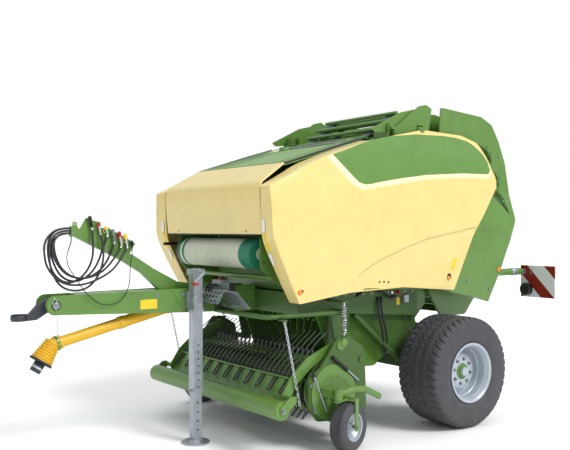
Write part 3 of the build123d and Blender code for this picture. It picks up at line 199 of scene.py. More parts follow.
class Shape:
    """A mesh put together from simple forms in working millimetres, with a material for each form."""

    def __init__(self, name, *materials):
        self.name = name
        self.materials = list(materials)
        self.points = []
        self.faces = []
        self.marks = []
        self.mark = 0
        self.side = 1

    def sides(self):
        """The left side, then the right one. What is added on the right is mirrored."""
        for self.side in (1, -1):
            yield
        self.side = 1

    def use(self, material):
        """The material of the forms that follow."""
        if material not in self.materials:
            self.materials.append(material)
        self.mark = self.materials.index(material)
        return self

    def add(self, points, faces):
        """Points and faces as they are."""
        base = len(self.points)
        self.points += [Vector((x, y * self.side, z)) for x, y, z in points]
        self.join(base, faces)

    def join(self, base, faces):
        """Faces between points that are there already, counted from a base."""
        self.faces += [[base + i for i in f] for f in faces]
        self.marks += [self.mark] * len(faces)

    def rings(self, rings, ends=True, loop=False):
        """A skin over rings that have the same number of points."""
        n = len(rings[0])
        count = len(rings)
        faces = []
        for k in range(count if loop else count - 1):
            a = k * n
            b = (k + 1) % count * n
            faces += [[a + i, a + (i + 1) % n, b + (i + 1) % n, b + i] for i in range(n)]
        if ends and not loop:
            faces += [list(range(n))[::-1], list(range((count - 1) * n, count * n))]
        self.add([p for ring in rings for p in ring], faces)

    def slab(self, ring, push):
        """A flat ring of points pushed along a vector."""
        ring = [Vector(p) for p in ring]
        self.rings([ring, [p + Vector(push) for p in ring]])

    def plate(self, points, y0, y1):
        """A plate with an XZ outline between two y values."""
        self.slab([(x, y0, z) for x, z in points], (0, y1 - y0, 0))

    def box(self, x0, x1, y0, y1, z0, z1):
        """A box between two corners."""
        self.slab([(x0, y0, z0), (x1, y0, z0), (x1, y1, z0), (x0, y1, z0)], (0, 0, z1 - z0))

    def turned(self, rows, centre, axis, n=32, loop=False):
        """A form turned about an axis, from rows of radius and place along it."""
        axis = Vector(axis).normalized()
        u, v = across(axis)
        centre = Vector(centre)
        self.rings([circle(centre + axis * t, u, v, max(r, 0.05), n) for r, t in rows], loop=loop)

    def rod(self, a, b, r, n=16):
        """A round bar between two points."""
        a = Vector(a)
        b = Vector(b)
        self.turned([(r, 0), (r, (b - a).length)], a, b - a, n)

    def pipe(self, points, r, n=12, loop=False):
        """A round bar along points."""
        points = [Vector(p) for p in points]
        side = None
        rings = []
        for i, p in enumerate(points):
            before = points[i - 1] if i or loop else p
            after = points[(i + 1) % len(points)] if i + 1 < len(points) or loop else p
            way = (after - before).normalized()
            side = across(way)[0] if side is None else (side - way * side.dot(way)).normalized()
            rings.append(circle(p, side, way.cross(side), r, n))
        self.rings(rings, loop=loop)

    def ring(self, centre, axis, big, small, n=32):
        """A round ring."""
        self.pipe(circle(Vector(centre), *across(Vector(axis).normalized()), big, n), small, 8, loop=True)

    def bolt(self, place, axis, r=9, high=8):
        """A washer and a six-sided head."""
        self.turned([(r * 1.5, -1), (r * 1.5, 2)], place, axis, 14)
        self.turned([(r, 2), (r, high - 1), (r * 0.85, high)], place, axis, 6)

    def bolts(self, places, y, r, high):
        """Steel bolts facing out at places in x and z."""
        self.use(STEEL)
        for x, z in places:
            self.bolt((x, y, z), OUT, r, high)

    def done(self, body, angle=35):
        """The finished object, riding on a CAD body."""
        mesh = bpy.data.meshes.new(self.name)
        mesh.from_pydata([spot(*p) for p in self.points], [], self.faces)
        for material in self.materials:
            mesh.materials.append(material)
        mesh.polygons.foreach_set("material_index", self.marks)
        form = bmesh.new()
        form.from_mesh(mesh)
        bmesh.ops.recalc_face_normals(form, faces=form.faces)
        form.to_mesh(mesh)
        form.free()
        mesh.shade_smooth()
        mesh.set_sharp_from_angle(angle=math.radians(angle))
        obj = link(bpy.data.objects.new(self.name, mesh))
        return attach(obj, body)


def across(axis):
    """Two directions square to an axis."""
    other = Vector((0, 0, 1)) if abs(axis.z) < 0.9 else Vector((1, 0, 0))
    u = axis.cross(other).normalized()
    return u, axis.cross(u).normalized()


def circle(centre, u, v, r, n):
    """Points on a circle in the plane of two directions."""
    return [centre + (u * math.cos(a) + v * math.sin(a)) * r for a in (2 * math.pi * i / n for i in range(n))]


def curve(points, steps=8, loop=False):
    """Points on a smooth line through the given ones."""
    pts = [Vector(p) for p in points]
    n = len(pts)
    out = []
    for i in range(n if loop else n - 1):
        p0 = pts[i - 1] if i or loop else pts[0]
        p1 = pts[i]
        p2 = pts[(i + 1) % n]
        p3 = pts[(i + 2) % n] if i + 2 < n or loop else pts[-1]
        for k in range(steps):
            t = k / steps
            out.append(0.5 * (2 * p1 + (p2 - p0) * t + (2 * p0 - 5 * p1 + 4 * p2 - p3) * t * t
                + (3 * p1 - p0 - 3 * p2 + p3) * t ** 3))
    return out if loop else out + [pts[-1]]


def line_value(rows, x):
    """A value read from rows of place and value, straight between them."""
    rows = sorted(rows)
    if x <= rows[0][0]:
        return rows[0][1]
    for (x0, v0), (x1, v1) in zip(rows, rows[1:]):
        if x <= x1:
            return v0 + (v1 - v0) * (x - x0) / (x1 - x0)
    return rows[-1][1]


def ease(t):
    """A smooth step from 0 to 1."""
    t = min(max(t, 0), 1)
    return t * t * (3 - 2 * t)


# Hoses and cable
HOSE_Y = 36
HOSE_END_X = 3432
CLAMP_Z0 = 1838
HOSE_Y0 = -34
HOSE_Y1 = -12
HOSE_ROWS = (1908, 1887, 1866)
HOSE_1 = ((3262, HOSE_Y, 1890), (3260, 50, 1790), (3265, 64, 1685), (3295, 68, 1590), (3360, 68, 1505),
    (3450, 68, 1455), (3545, 68, 1475), (3615, 68, 1550), (3645, 64, 1650), (3640, 28, 1745),
    (3610, -24, 1830), (3535, HOSE_Y0, HOSE_ROWS[0]), (HOSE_END_X, HOSE_Y0, HOSE_ROWS[0]))
HOSE_2 = ((3185, HOSE_Y, 1850), (3175, 64, 1750), (3190, 108, 1655), (3220, 112, 1550), (3275, 112, 1460),
    (3360, 112, 1400), (3470, 112, 1395), (3565, 112, 1435), (3625, 112, 1525), (3655, 112, 1625),
    (3645, 78, 1725), (3615, 14, 1805), (3535, HOSE_Y1, HOSE_ROWS[1]), (HOSE_END_X, HOSE_Y1, HOSE_ROWS[1]))
HOSE_3 = ((3130, HOSE_Y, 1830), (3170, 38, 1735), (3205, 44, 1635), (3260, 46, 1545), (3345, 46, 1480),
    (3445, 46, 1465), (3535, 46, 1510), (3590, 44, 1600), (3615, 30, 1700), (3600, -12, 1795),
    (3535, HOSE_Y0, HOSE_ROWS[1]), (HOSE_END_X, HOSE_Y0, HOSE_ROWS[1]))
HOSE_4 = ((3065, HOSE_Y, 1770), (3100, 26, 1670), (3155, 24, 1580), (3235, 24, 1515), (3335, 24, 1485),
    (3435, 24, 1505), (3520, 24, 1570), (3568, 18, 1665), (3582, -6, 1778), (3550, -26, 1834),
    (3494, HOSE_Y0, HOSE_ROWS[2]), (HOSE_END_X, HOSE_Y0, HOSE_ROWS[2]))
HOSE_5 = ((3005, HOSE_Y, 1740), (3065, 62, 1665), (3135, 82, 1590), (3215, 90, 1530), (3310, 90, 1495),
    (3415, 90, 1495), (3510, 90, 1530), (3580, 90, 1605), (3615, 74, 1700), (3600, 24, 1785),
    (3530, HOSE_Y1, HOSE_ROWS[2]), (HOSE_END_X, HOSE_Y1, HOSE_ROWS[2]))
HOSE_6 = ((2950, HOSE_Y, 1725), (3015, 78, 1660), (3080, 118, 1590), (3160, 136, 1530), (3250, 134, 1485),
    (3350, 134, 1450), (3450, 134, 1440), (3550, 134, 1460), (3630, 134, 1520), (3690, 134, 1605),
    (3700, 114, 1705), (3675, 44, 1780), (3620, -6, 1850), (3535, HOSE_Y1, HOSE_ROWS[0]),
    (HOSE_END_X, HOSE_Y1, HOSE_ROWS[0]))
CABLE = ((2895, HOSE_Y, 1735), (2900, 48, 1682), (2930, 92, 1640), (2958, 128, 1585), (2965, 140, 1525),
    (2970, 146, 1455), (2990, 148, 1385), (3025, 150, 1325), (3080, 150, 1280), (3150, 150, 1265),
    (3220, 150, 1270), (3285, 152, 1305), (3335, 152, 1350), (3385, 154, 1400), (3425, 156, 1462),
    (3470, 146, 1530), (3495, 112, 1586), (3496, 72, 1642), (3480, 34, 1695), (3452, 6, 1742),
    (3425, HOSE_Y1, 1790), (3425, HOSE_Y1, CLAMP_Z0))

# x, z of the coupling's top, its radius, and the colours of its body and cap
COUPLINGS = ((3285, 2010, 15, BLACK, BLACK), (3203, 1960, 13, CHROME, RED), (3142, 1925, 13, CHROME, YELLOW),
    (3078, 1900, 15, GREY, GREY), (3018, 1880, 15, CHROME, RED), (2962, 1860, 15, CHROME, YELLOW),
    (2903, 1800, 14, BLACK, BLACK))
SLEEVE_L = 26


def coupling(i, route, row):
    """One parked coupling: sleeve, ferrule, ribbed body and cap with its loop."""
    x1, z1, r, metal, cap = row
    shape = Shape(f"coupling_{i + 1}")
    foot = Vector(route[0])
    back = (foot - Vector(route[1])).normalized()
    top = Vector((x1, HOSE_Y, z1))
    start = foot + back * SLEEVE_L
    way = top - start
    size = way.length
    sleeve = 11 if i < 6 else 6
    shape.use(CHROME if i < 6 else BLACK).turned([(sleeve, 0), (sleeve, 6), (sleeve - 1.5, 8), (sleeve, 10),
        (sleeve - 1.5, 14), (sleeve, 18), (sleeve, SLEEVE_L + 3)], foot, back, 20)
    body = [(r * 0.75, -4), (r * 0.75, size * 0.12), (r * 0.95, size * 0.14)]
    for k in range(5):
        t = size * (0.18 + 0.07 * k)
        body += [(r * 0.95, t), (r * 0.82, t + size * 0.015), (r * 0.82, t + size * 0.05),
            (r * 0.95, t + size * 0.06)]
    body += [(r, size * 0.56), (r, size * 0.62)]
    shape.use(metal).turned(body, start, way, 22)
    cap_rows = [(r, size * 0.62), (r, size * 0.94), (r * 0.8, size * 0.995), (0.3, size)]
    shape.use(cap).turned(cap_rows, start, way, 22)
    if cap in (RED, YELLOW):
        loop = start + way * 0.80
        shape.pipe(curve([loop + Vector((r * 0.8, 0, 0)), loop + Vector((r + 9, 6, -10)), loop
            + Vector((r + 8, 4, -38)), start + way * 0.3 + Vector((r * 0.7, 0, 0))], 6), 2, 8)
    mid = (start + top) / 2
    shape.use(STEEL).rod((mid.x, 6, mid.z), (mid.x, HOSE_Y, mid.z), 6, 12)
    shape.turned([(12, 5), (12, 10), (9, 13)], (mid.x, 0, mid.z), OUT, 6)
    return shape.done("frame")


def hose(name, route, r, length):
    """One free cord along its route, as a smooth spline."""
    line = bpy.data.curves.new(name, "CURVE")
    line.dimensions = "3D"
    line.bevel_depth = r / 1000
    line.bevel_resolution = 5
    line.use_fill_caps = True
    line.resolution_u = 12
    spline = line.splines.new("NURBS")
    spline.points.add(len(route) - 1)
    for point, place in zip(spline.points, route):
        point.co = (*spot(*place), 1)
    spline.order_u = 3
    spline.use_endpoint_u = True
    line.materials.append(RUBBER)
    obj = link(bpy.data.objects.new(f"{name}_line", line))
    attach(obj, "frame")
    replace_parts(obj, name)
    tuple(spot(*route[0]))


ROUTES = (HOSE_1, HOSE_2, HOSE_3, HOSE_4, HOSE_5, HOSE_6, CABLE)
# name, radius, length in metres
CORDS = (("hose_1", 9, 1.21), ("hose_2", 9, 1.36), ("hose_3", 9, 1.13), ("hose_4", 9, 1.03),
    ("hose_5", 9, 1.11), ("hose_6", 9, 1.42), ("cable", 4, 1.41))
parked = [coupling(i, *rows) for i, rows in enumerate(zip(ROUTES, COUPLINGS))]
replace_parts(parked[0], "couplings")
for i, (route, (name, r, length)) in enumerate(zip(ROUTES, CORDS)):
    hose(name, route, r, length)


# Stage
def stage():
    """A white floor that keeps the shadow, a white backdrop and soft light from the near side."""
    bpy.ops.mesh.primitive_plane_add(size=120, location=(0, 0, -0.001))
    floor = bpy.context.object
    floor.name = "floor"
    material = bpy.data.materials.new("floor")
    material.use_nodes = True
    matt = material.node_tree.nodes["Principled BSDF"].inputs
    matt["Base Color"].default_value = (0.95, 0.95, 0.95, 1)
    matt["Roughness"].default_value = 0.95
    matt["Specular IOR Level"].default_value = 0
    floor.data.materials.append(material)
    world = bpy.data.worlds.new("world")
    SCENE.world = world
    world.use_nodes = True
    tree = world.node_tree
    back = tree.nodes["Background"]
    back.inputs["Color"].default_value = (0.93, 0.96, 1, 1)
    back.inputs["Strength"].default_value = 0.68
    white = tree.nodes.new("ShaderNodeBackground")
    white.inputs["Color"].default_value = (1, 1, 1, 1)
    white.inputs["Strength"].default_value = 1
    path = tree.nodes.new("ShaderNodeLightPath")
    mix = tree.nodes.new("ShaderNodeMixShader")
    tree.links.new(path.outputs["Is Camera Ray"], mix.inputs[0])
    tree.links.new(back.outputs[0], mix.inputs[1])
    tree.links.new(white.outputs[0], mix.inputs[2])
    tree.links.new(mix.outputs[0], tree.nodes["World Output"].inputs[0])
    for way, power, size in (((0.25, -0.75, -0.75), 2.2, 22), ((0.1, 0.3, -1), 0.8, 60)):
        lamp = bpy.data.lights.new("sun", "SUN")
        lamp.energy = power
        lamp.angle = math.radians(size)
        sun = link(bpy.data.objects.new("sun", lamp))
        sun.rotation_euler = Vector(way).to_track_quat("-Z", "Y").to_euler()


stage()


# Main wheels
TRACK_Y = 1120
AXLE_Z = 529
# radius and y of the tyre's section, from the inner bead to the outer one, on the carcass
TYRE_ROWS = ((258, -216), (285, -222), (305, -236), (345, -246), (400, -249), (452, -246), (486, -236),
    (504, -222), (511, -200), (515, -150), (517, -80), (518, 0), (517, 80), (515, 150), (511, 200),
    (504, 222), (486, 236), (452, 246), (400, 249), (345, 246), (305, 236), (285, 222), (258, 216))
PITCHES = 44


def tread(y, turn):
    """How far a point of the tread stands out, from 0 in a groove to 1 on a block."""
    wave = math.sin(2 * math.pi * turn * PITCHES)
    saw = abs((turn * PITCHES) % 1 - 0.5) * 4 - 1
    high = 1.0
    for row, swing in ((-140, 10), (-48, 15), (48, -15), (140, -10)):
        gap = abs(y - row - swing * saw) - 6
        high = min(high, ease(gap / 5))
    if abs(y) > 150:
        hook = turn * PITCHES + (abs(y) - 150) / 150 + (0.25 if y > 0 else 0)
        gap = abs((hook % 1) - 0.5) * 2
        high = min(high, ease((gap - 0.20) / 0.10))
    elif abs(y) > 60:
        gap = abs(((turn * PITCHES + y / 160) % 1) - 0.5) * 2
        high = min(high, 0.35 + 0.65 * ease((gap - 0.06) / 0.08))
    else:
        gap = abs(((turn * PITCHES + wave * 0.02) % 1) - 0.5) * 2
        high = min(high, 0.45 + 0.55 * ease((gap - 0.05) / 0.08))
    return high


def tyre(side, flip):
    """A wide tyre with zigzag ribs, shoulder blocks and short bars on its sidewalls."""
    profile = curve([(r, y, 0) for r, y in TYRE_ROWS], 4)
    around = 616
    shape = Shape(f"tread_{side}", TYRE)
    shape.side = flip
    rings = []
    normals = []
    for i, p in enumerate(profile):
        way = profile[min(i + 1, len(profile) - 1)] - profile[max(i - 1, 0)]
        normals.append(Vector((way.y, -way.x)).normalized())
    for k in range(around):
        turn = k / around
        a = 2 * math.pi * turn
        ring = []
        for p, normal in zip(profile, normals):
            r, y = p.x, p.y
            lift = 0
            if r > 470:
                lift = 13 * ease((r - 466) / 26) * tread(y, turn)
            elif 300 < r < 440:
                bar = abs(((turn * PITCHES * 1.5) % 1) - 0.5) * 2
                lift = 2.5 * ease((0.45 - bar) / 0.1) * ease((r - 330) / 12) * ease((420 - r) / 12)
                lift += 2.5 * ease((8 - abs(r - 312)) / 4)
            r = min(r + normal.x * lift, AXLE_Z - 0.5)
            y = y + normal.y * lift * 0.4
            ring.append((r * math.cos(a), TRACK_Y + y, AXLE_Z + r * math.sin(a)))
        rings.append(ring)
    shape.rings(rings, loop=True)
    obj = shape.done(f"wheel_{side}", 40)
    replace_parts(obj, f"tyre_{side}")


def rim(side, flip):
    """The dished rim with its stepped barrel, bolts, hub and cap."""
    body = f"wheel_{side}"
    centre = (0, TRACK_Y, AXLE_Z)
    shape = Shape(f"rim_detail_{side}", RIM_GREY)
    shape.side = flip
    shape.turned([(247, -238), (285, -238), (286, -232), (284, -226), (258, -222), (256, -180), (250, -60),
        (252, 60), (256, 190), (258, 221), (284, 226), (287, 233), (285, 239), (278, 241), (264, 236),
        (254, 224), (248, 195), (241, 186), (238, 120), (230, 112), (226, 66), (216, 54), (180, 94),
        (168, 108), (160, 113), (84, 113), (78, 108), (78, 98), (160, 99), (172, 88), (210, 40), (240, 36),
        (243, -150), (246, -226)], centre, OUT, 96, loop=True)
    shape.turned([(140, 112), (140, 115), (120, 117), (84, 117)], centre, OUT, 64)
    for k in range(8):
        a = 2 * math.pi * k / 8 + 0.2
        place = (118 * math.cos(a), TRACK_Y + 116, AXLE_Z + 118 * math.sin(a))
        shape.use(STEEL).bolt(place, OUT, 13, 16)
        shape.rod(place, Vector(place) + Vector(OUT) * 24, 7, 12)
    shape.use(BLACK).rod((150, TRACK_Y + 100, AXLE_Z + 160), (156, TRACK_Y + 150, AXLE_Z + 166), 6)
    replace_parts(shape.done(body), f"rim_{side}")
    hub = Shape(f"hub_detail_{side}", GREEN)
    hub.side = flip
    hub.turned([(78, -70), (78, 112), (76, 122), (66, 128), (58, 130), (56, 140), (44, 142)], centre, OUT, 48)
    hub.use(RIM_GREY).turned([(44, 140), (44, 150), (40, 158), (30, 162), (0.5, 163)], centre, OUT, 32)
    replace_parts(hub.done(body), f"hub_{side}")


for side, flip in SIDES:
    tyre(side, flip)
    rim(side, flip)


# Covers
def inside(x, z, ring):
    """Whether a point lies in a ring of x and z."""
    hit = False
    for (x0, z0), (x1, z1) in zip(ring, ring[1:] + ring[:1]):
        if (z0 > z) != (z1 > z) and x < x0 + (x1 - x0) * (z - z0) / (z1 - z0):
            hit = not hit
    return hit


def middle(ring):
    """The mean x and z of a ring."""
    return [sum(p[k] for p in ring) / len(ring) for k in (0, 1)]


def rounded(rows, steps=6):
    """An outline in x and z from rows of x, z and corner radius."""
    out = []
    n = len(rows)
    for i, (x, z, r) in enumerate(rows):
        here = Vector((x, z))
        back = Vector(rows[i - 1][:2]) - here
        ahead = Vector(rows[(i + 1) % n][:2]) - here
        turn = math.pi - back.angle(ahead)
        cut = min(r * math.tan(turn / 2), 0.48 * back.length, 0.48 * ahead.length)
        if cut < 2:
            out.append(here)
            continue
        a = here + back.normalized() * cut
        b = here + ahead.normalized() * cut
        for k in range(steps + 1):
            t = k / steps
            out.append(a * (1 - t) ** 2 + here * 2 * t * (1 - t) + b * t * t)
    return [(p.x, p.y) for p in out]


def skin(shape, edge, depth, thick, base, zones=(), step=45, extra=()):
    """A curved sheet inside an outline. depth gives y, zones are rings with materials, the last one wins."""
    points = [Vector(p) for p in edge]
    chains = [list(range(len(edge)))]
    for ring, material in zones:
        chains.append(list(range(len(points), len(points) + len(ring))))
        points += [Vector(p) for p in ring]
    lines = [(c[i], c[(i + 1) % len(c)]) for c in chains for i in range(len(c))]
    points += [Vector(p) for p in extra]
    xs = [p[0] for p in edge]
    zs = [p[1] for p in edge]
    x = min(xs)
    while x < max(xs):
        z = min(zs)
        while z < max(zs):
            if inside(x, z, edge):
                points.append(Vector((x, z)))
            z += step
        x += step
    flat, _, faces = delaunay_2d_cdt(points, lines, [], 0, 0.5)[:3]
    n = len(flat)
    back = []
    groups = {}
    # each kept face's edges in its own turning sense; the outline's come only once
    ways = {}
    for f in faces:
        cx, cz = middle([flat[i] for i in f])
        if not inside(cx, cz, edge):
            continue
        back.append([i + n for i in f][::-1])
        ways.update(dict.fromkeys(zip(f, list(f[1:]) + [f[0]])))
        material = base
        for ring, other in zones:
            if inside(cx, cz, ring):
                material = other
        groups.setdefault(material, []).append(f)
    rims = [[a, b, b + n, a + n] for a, b in ways if (b, a) not in ways]
    start = len(shape.points)
    shape.add([(p.x, depth(p.x, p.y) - d, p.y) for d in (0, thick) for p in flat], [])
    for material, members in groups.items():
        shape.use(material).join(start, members)
    shape.use(base).join(start, back + rims)


DOOR_EDGE = ((2120, 2262, 25), (2104, 1850, 150), (1990, 1590, 100), (1806, 1258, 25), (1245, 1330, 300),
    (550, 1349, 400), (-150, 1290, 20), (-430, 1820, 500), (-800, 2370, 160), (-640, 2800, 90),
    (-420, 2868, 200), (150, 2885, 400), (900, 2730, 300), (1650, 2480, 200))
DOOR_DEPTH = ((1100, 985), (1280, 1004), (1450, 1026), (1700, 1037), (2000, 1040), (2200, 1036), (2330, 1022),
    (2450, 998), (2560, 973), (2680, 938), (2760, 908), (2880, 862))
FOLD = ((-600, 2330), (2000, 2010))
CREASE = ((1240, 1415), (1201, 1459), (1071, 1535), (916, 1612), (734, 1674), (546, 1738), (253, 1820),
    (-268, 1900), (-420, 1925))
BAND = ((1412, 2583), (1318, 2493), (1191, 2372), (1130, 2322), (1061, 2304), (980, 2314), (883, 2334),
    (606, 2378), (241, 2426), (-280, 2462), (-668, 2468), (-705, 2512), (-690, 2600), (-650, 2680),
    (-560, 2770), (-480, 2812), (-330, 2836), (-146, 2844), (241, 2833), (606, 2790), (950, 2725),
    (1213, 2659))
EDGING = ((1470, 2560), (1440, 2583), (1412, 2583), (1213, 2659), (606, 2790), (-146, 2844), (-480, 2812),
    (-690, 2600), (-720, 2480), (-668, 2424), (-268, 2418), (252, 2384), (616, 2328), (960, 2274),
    (1060, 2258), (1136, 2266), (1200, 2298), (1264, 2346), (1390, 2473))


def door_depth(x, z):
    """How far out the door's surface is: a soft fold in the middle and a pressed crease below it."""
    moved = (line_value(FOLD, x) - 2170) * ease((z - 1500) / 400) * ease((2860 - z) / 350) * 0.8
    y = line_value(DOOR_DEPTH, z - moved)
    along = ease((1260 - x) / 260)
    below = line_value(CREASE, x) - z
    y -= 26 * along * ease(below / 26) * ease((620 - below) / 420)
    return y - 10 * ease((x - 1960) / 160)


def door(side, flip):
    """The cream cover with its green band, pale edging, crease, lamps, bolts, hinges and blank plates."""
    edge = rounded(DOOR_EDGE)
    shape = Shape(f"cover_{side}", CREAM)
    shape.side = flip
    extra = []
    for i in range(60):
        x = -440 + i * 1700 / 59
        for drop in (12, 2, -8, -20, -34):
            z = line_value(CREASE, x) + drop
            if inside(x, z, edge):
                extra.append((x, z))
    skin(shape, edge, door_depth, 13, CREAM, ((list(EDGING), PALE), (list(BAND), SWOOSH)), 45, extra)
    flank = [(p.x, door_depth(p.x - 8, p.z), p.z) for p in curve([(2119, 0, 2262), (2112, 0, 2060),
        (2101, 0, 1850), (2062, 0, 1730), (1996, 0, 1600), (1900, 0, 1420), (1808, 0, 1262)], 6)]
    top = curve([(2119, 0, 2262), (1880, 0, 2370), (1650, 0, 2478), (1280, 0, 2612), (900, 0, 2728)], 6)
    rings = []
    for p in top:
        y = door_depth(p.x - 8, p.z)
        back = line_value(((2270, 846), (2480, 752), (2800, 752)), p.z)
        rings.append([(p.x, y - 3, p.z), (p.x, back, p.z + 4), (p.x, back, p.z - 8), (p.x, y - 3, p.z - 11)])
    shape.rings(rings)
    back = 846
    shape.use(CREAM).rings([[(x - 1, y - 4, z), (x - 5, (y + back) / 2, z), (x - 14, back, z),
        (x - 14 - 12, back, z), (x - 18, (y + back) / 2, z), (x - 18, y - 8, z)] for x, y, z in flank])
    for z0, z1, material in ((1875, 1978, WHITE), (1712, 1862, YELLOW), (1596, 1690, WHITE)):
        xs = [min((abs(p[2] - z), p[0]) for p in flank)[1] for z in (z0, z1)]
        shape.use(material).slab([(xs[0] - 6, 872, z0), (xs[0] - 4, 912, z0), (xs[1] - 4, 912, z1),
            (xs[1] - 6, 872, z1)], (5, 0, 0))
    for x, z in ((1811, 1361), (-60, 1414)):
        y = door_depth(x, z)
        # painted shadow: a near-black disc behind each lamp, offset back and up
        shape.use(SHADOW).turned([(30, -4), (30, 1.5), (24, 2.5)], (x - 10, y, z + 16), OUT, 24)
        shape.use(ORANGE).turned([(22, -3), (22, 6), (16, 11), (0.5, 12)], (x, y, z), OUT, 24)
    for x, z in ((863, 1413), (806, 1410), (749, 1405)):
        shape.use(BLACK).bolt((x, door_depth(x, z) - 1, z), OUT, 7, 6)
    label = ((-145, 1613), (-193, 1611), (-145, 1497), (-92, 1498))
    shape.use(YELLOW).slab([(x, door_depth(x, z) - 2, z) for x, z in label], (0, 3.5, 0))
    for x in (160, 560):
        shape.use(GREEN).box(x - 24, x + 24, 838, 880, 2862, 2879)
        shape.rod((x - 25, 832, 2902), (x + 25, 832, 2902), 17, 20)
        shape.box(x - 22, x + 22, 834, 848, 2862, 2902)
    # painted shade: the rods under the cover's lower edge are in the darker, shaded green
    for x0, z0, x1, z1 in ((1790, 1290, 1250, 1352), (1200, 1356, -120, 1318), (-120, 1330, -420, 1800)):
        shape.use(SHADED_GREEN).rod((x0, door_depth(x0, z0) - 30, z0), (x1, door_depth(x1, z1) - 30, z1), 12,
            10)
    obj = shape.done(f"door_{side}", 30)
    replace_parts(obj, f"door_{side}")


for side, flip in SIDES:
    door(side, flip)

# Tailgate's side panels
PANEL_EDGE = ((-165, 3133, 12), (-140, 2900, 60), (-70, 1290, 20), (-216, 1262, 80), (-461, 1215, 80),
    (-758, 1142, 12), (-947, 1464, 200), (-1117, 1783, 200), (-1222, 1993, 150), (-1205, 2270, 200),
    (-1180, 2605, 250), (-1069, 2850, 120), (-960, 3017, 80), (-785, 3090, 60))
PANEL_DEPTH = ((900, 925), (1100, 938), (1300, 949), (1600, 951), (1850, 948), (2000, 936), (2200, 886),
    (2350, 842), (2500, 834), (3200, 825))
# corner points of each louvre's slot
LOUVRES = (((-742, 2800), (-860, 2752), (-925, 2680), (-948, 2600), (-905, 2640), (-815, 2700)),
    ((-820, 2575), (-1000, 2512), (-1052, 2440), (-1062, 2350), (-1010, 2400), (-905, 2470)),
    ((-815, 2400), (-1030, 2302), (-1108, 2210), (-1140, 2060), (-1060, 2140), (-900, 2270)))
PANEL_BOLTS = ((-355, 3070), (-1082, 2686), (-1115, 2192), (-698, 1916), (-1038, 1676), (-414, 1369),
    (-769, 1263))


def panel_depth(x, z):
    """How far out the tailgate's panel is, with the louvres' slots let in."""
    y = line_value(PANEL_DEPTH, z)
    for ring in LOUVRES:
        if inside(x, z, list(ring)):
            return y - 30
    return y


def panels():
    """Both flared panels of the tailgate, with their slots, bolts and reflectors."""
    shape = Shape("tailgate_panels", GREEN)
    for _ in shape.sides():
        # painted shade: the louvres' recessed slots are in the darker, shaded green
        zones = [(list(ring), SHADED_GREEN) for ring in LOUVRES]
        extra = []
        for ring in LOUVRES:
            cx, cz = middle(ring)
            extra += [(cx + (x - cx) * 0.94, cz + (z - cz) * 0.94) for x, z in ring]
        skin(shape, rounded(PANEL_EDGE), panel_depth, 13, GREEN, zones, 55, extra)
        for ring in LOUVRES:
            lip = [(x, line_value(PANEL_DEPTH, z) + 1, z) for x, z in ring[:4]]
            shape.use(GREEN).pipe(curve(lip, 4), 7, 8)
        for x, z in PANEL_BOLTS:
            shape.use(STEEL).bolt((x, line_value(PANEL_DEPTH, z), z), OUT, 11, 9)
        shape.use(ORANGE).turned([(26, -2), (26, 8), (20, 11), (0.5, 11)], (-917, 950, 1469), OUT, 28)
        shape.use(GREEN)
        for x, z in ((-320, 2960), (-820, 2880), (-1050, 2000), (-420, 1330), (-790, 1330)):
            shape.rod((x, 676.5, z), (x, line_value(PANEL_DEPTH, z) - 8, z), 22, 20)
        edge = curve([(x, line_value(PANEL_DEPTH, z) - 6, z) for x, z in rounded(PANEL_EDGE, 3)], 1,
            loop=True)
        shape.pipe(edge, 9, 6, loop=True)
    obj = shape.done("tailgate", 30)
    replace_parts(obj, "side_panels")


panels()


# Front cover and lid
def hood():
    """The front cover's skin, bar and bolts, and the lid's seals and strips."""
    cover = Shape("front_cover_detail", CREAM)
    line = curve([(2071, 0, 1858), (2088, 0, 2050), (2099, 0, 2225), (2094, 0, 2262), (2084, 0, 2284),
        (2064, 0, 2306), (2040, 0, 2321), (1900, 0, 2404), (1774, 0, 2479)], 4)
    rings = []
    for i, p in enumerate(line):
        way = (line[min(i + 1, len(line) - 1)] - line[max(i - 1, 0)]).normalized()
        out = Vector((way.z, 0, -way.x))
        half = 833 if p.z < 2290 else 833 - (p.z - 2290) * 105 / 230
        top = p + out * 12
        rings.append([Vector((top.x - 9 * out.x, y, top.z - 9 * out.z)) if abs(y) == half else Vector((top.x,
            y, top.z)) for y in (-half, -half + 14, half - 14, half)]
            + [Vector((p.x, y, p.z)) for y in (half, -half)])
    cover.rings(rings)
    cover.use(BLACK).box(2060, 2083, -760, 760, 1846, 1858)
    for y in (-600, 600):
        cover.use(STEEL).bolt((2084, y, 1885), (1, 0, 0.08), 8, 7)
    obj = cover.done("hood", 28)
    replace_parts(obj, "front_cover")
    lid = Shape("lid_detail", SAGE)
    for _ in lid.sides():
        lid.use(BLACK).pipe([(1764, 726, 2486), (1472, 727, 2576), (1150, 727, 2676), (850, 727, 2764)], 11,
            8)
        lid.use(SAGE).slab([(1760, 560, 2492), (850, 560, 2767), (850, 590, 2767), (1760, 590, 2492)],
            (2, 0, 7))
    lid.use(SAGE).slab([(1765, -700, 2490), (1765, 700, 2490), (1735, 700, 2500), (1735, -700, 2500)],
        (2, 0, 7))
    lid.done("hood")


hood()


def seals():
    """Rubber seals and inner edges between the lid and the covers, on the chamber's walls."""
    shape = Shape("cover_seals", BLACK)
    for _ in shape.sides():
        shape.use(BLACK).pipe([(1560, 700, 2478), (1300, 770, 2556), (1000, 790, 2642), (800, 790, 2700)], 16,
            8)
        shape.use(GREEN).slab([(1575, 640, 2420), (1575, 700, 2466), (800, 790, 2690), (800, 640, 2660)],
            (4, 0, 8))
    shape.done("frame")


seals()


def fins():
    """The flared plates beside the belts, down to the lid's rear edge."""
    shape = Shape("top_fins", GREEN)
    edge = rounded(((52, 3126, 20), (405, 3044, 200), (790, 2856, 10), (740, 2822, 10), (451, 2853, 100),
        (30, 2907, 10)))
    for _ in shape.sides():
        shape.plate(edge, 800, 810)
    shape.done("frame", 30)


fins()

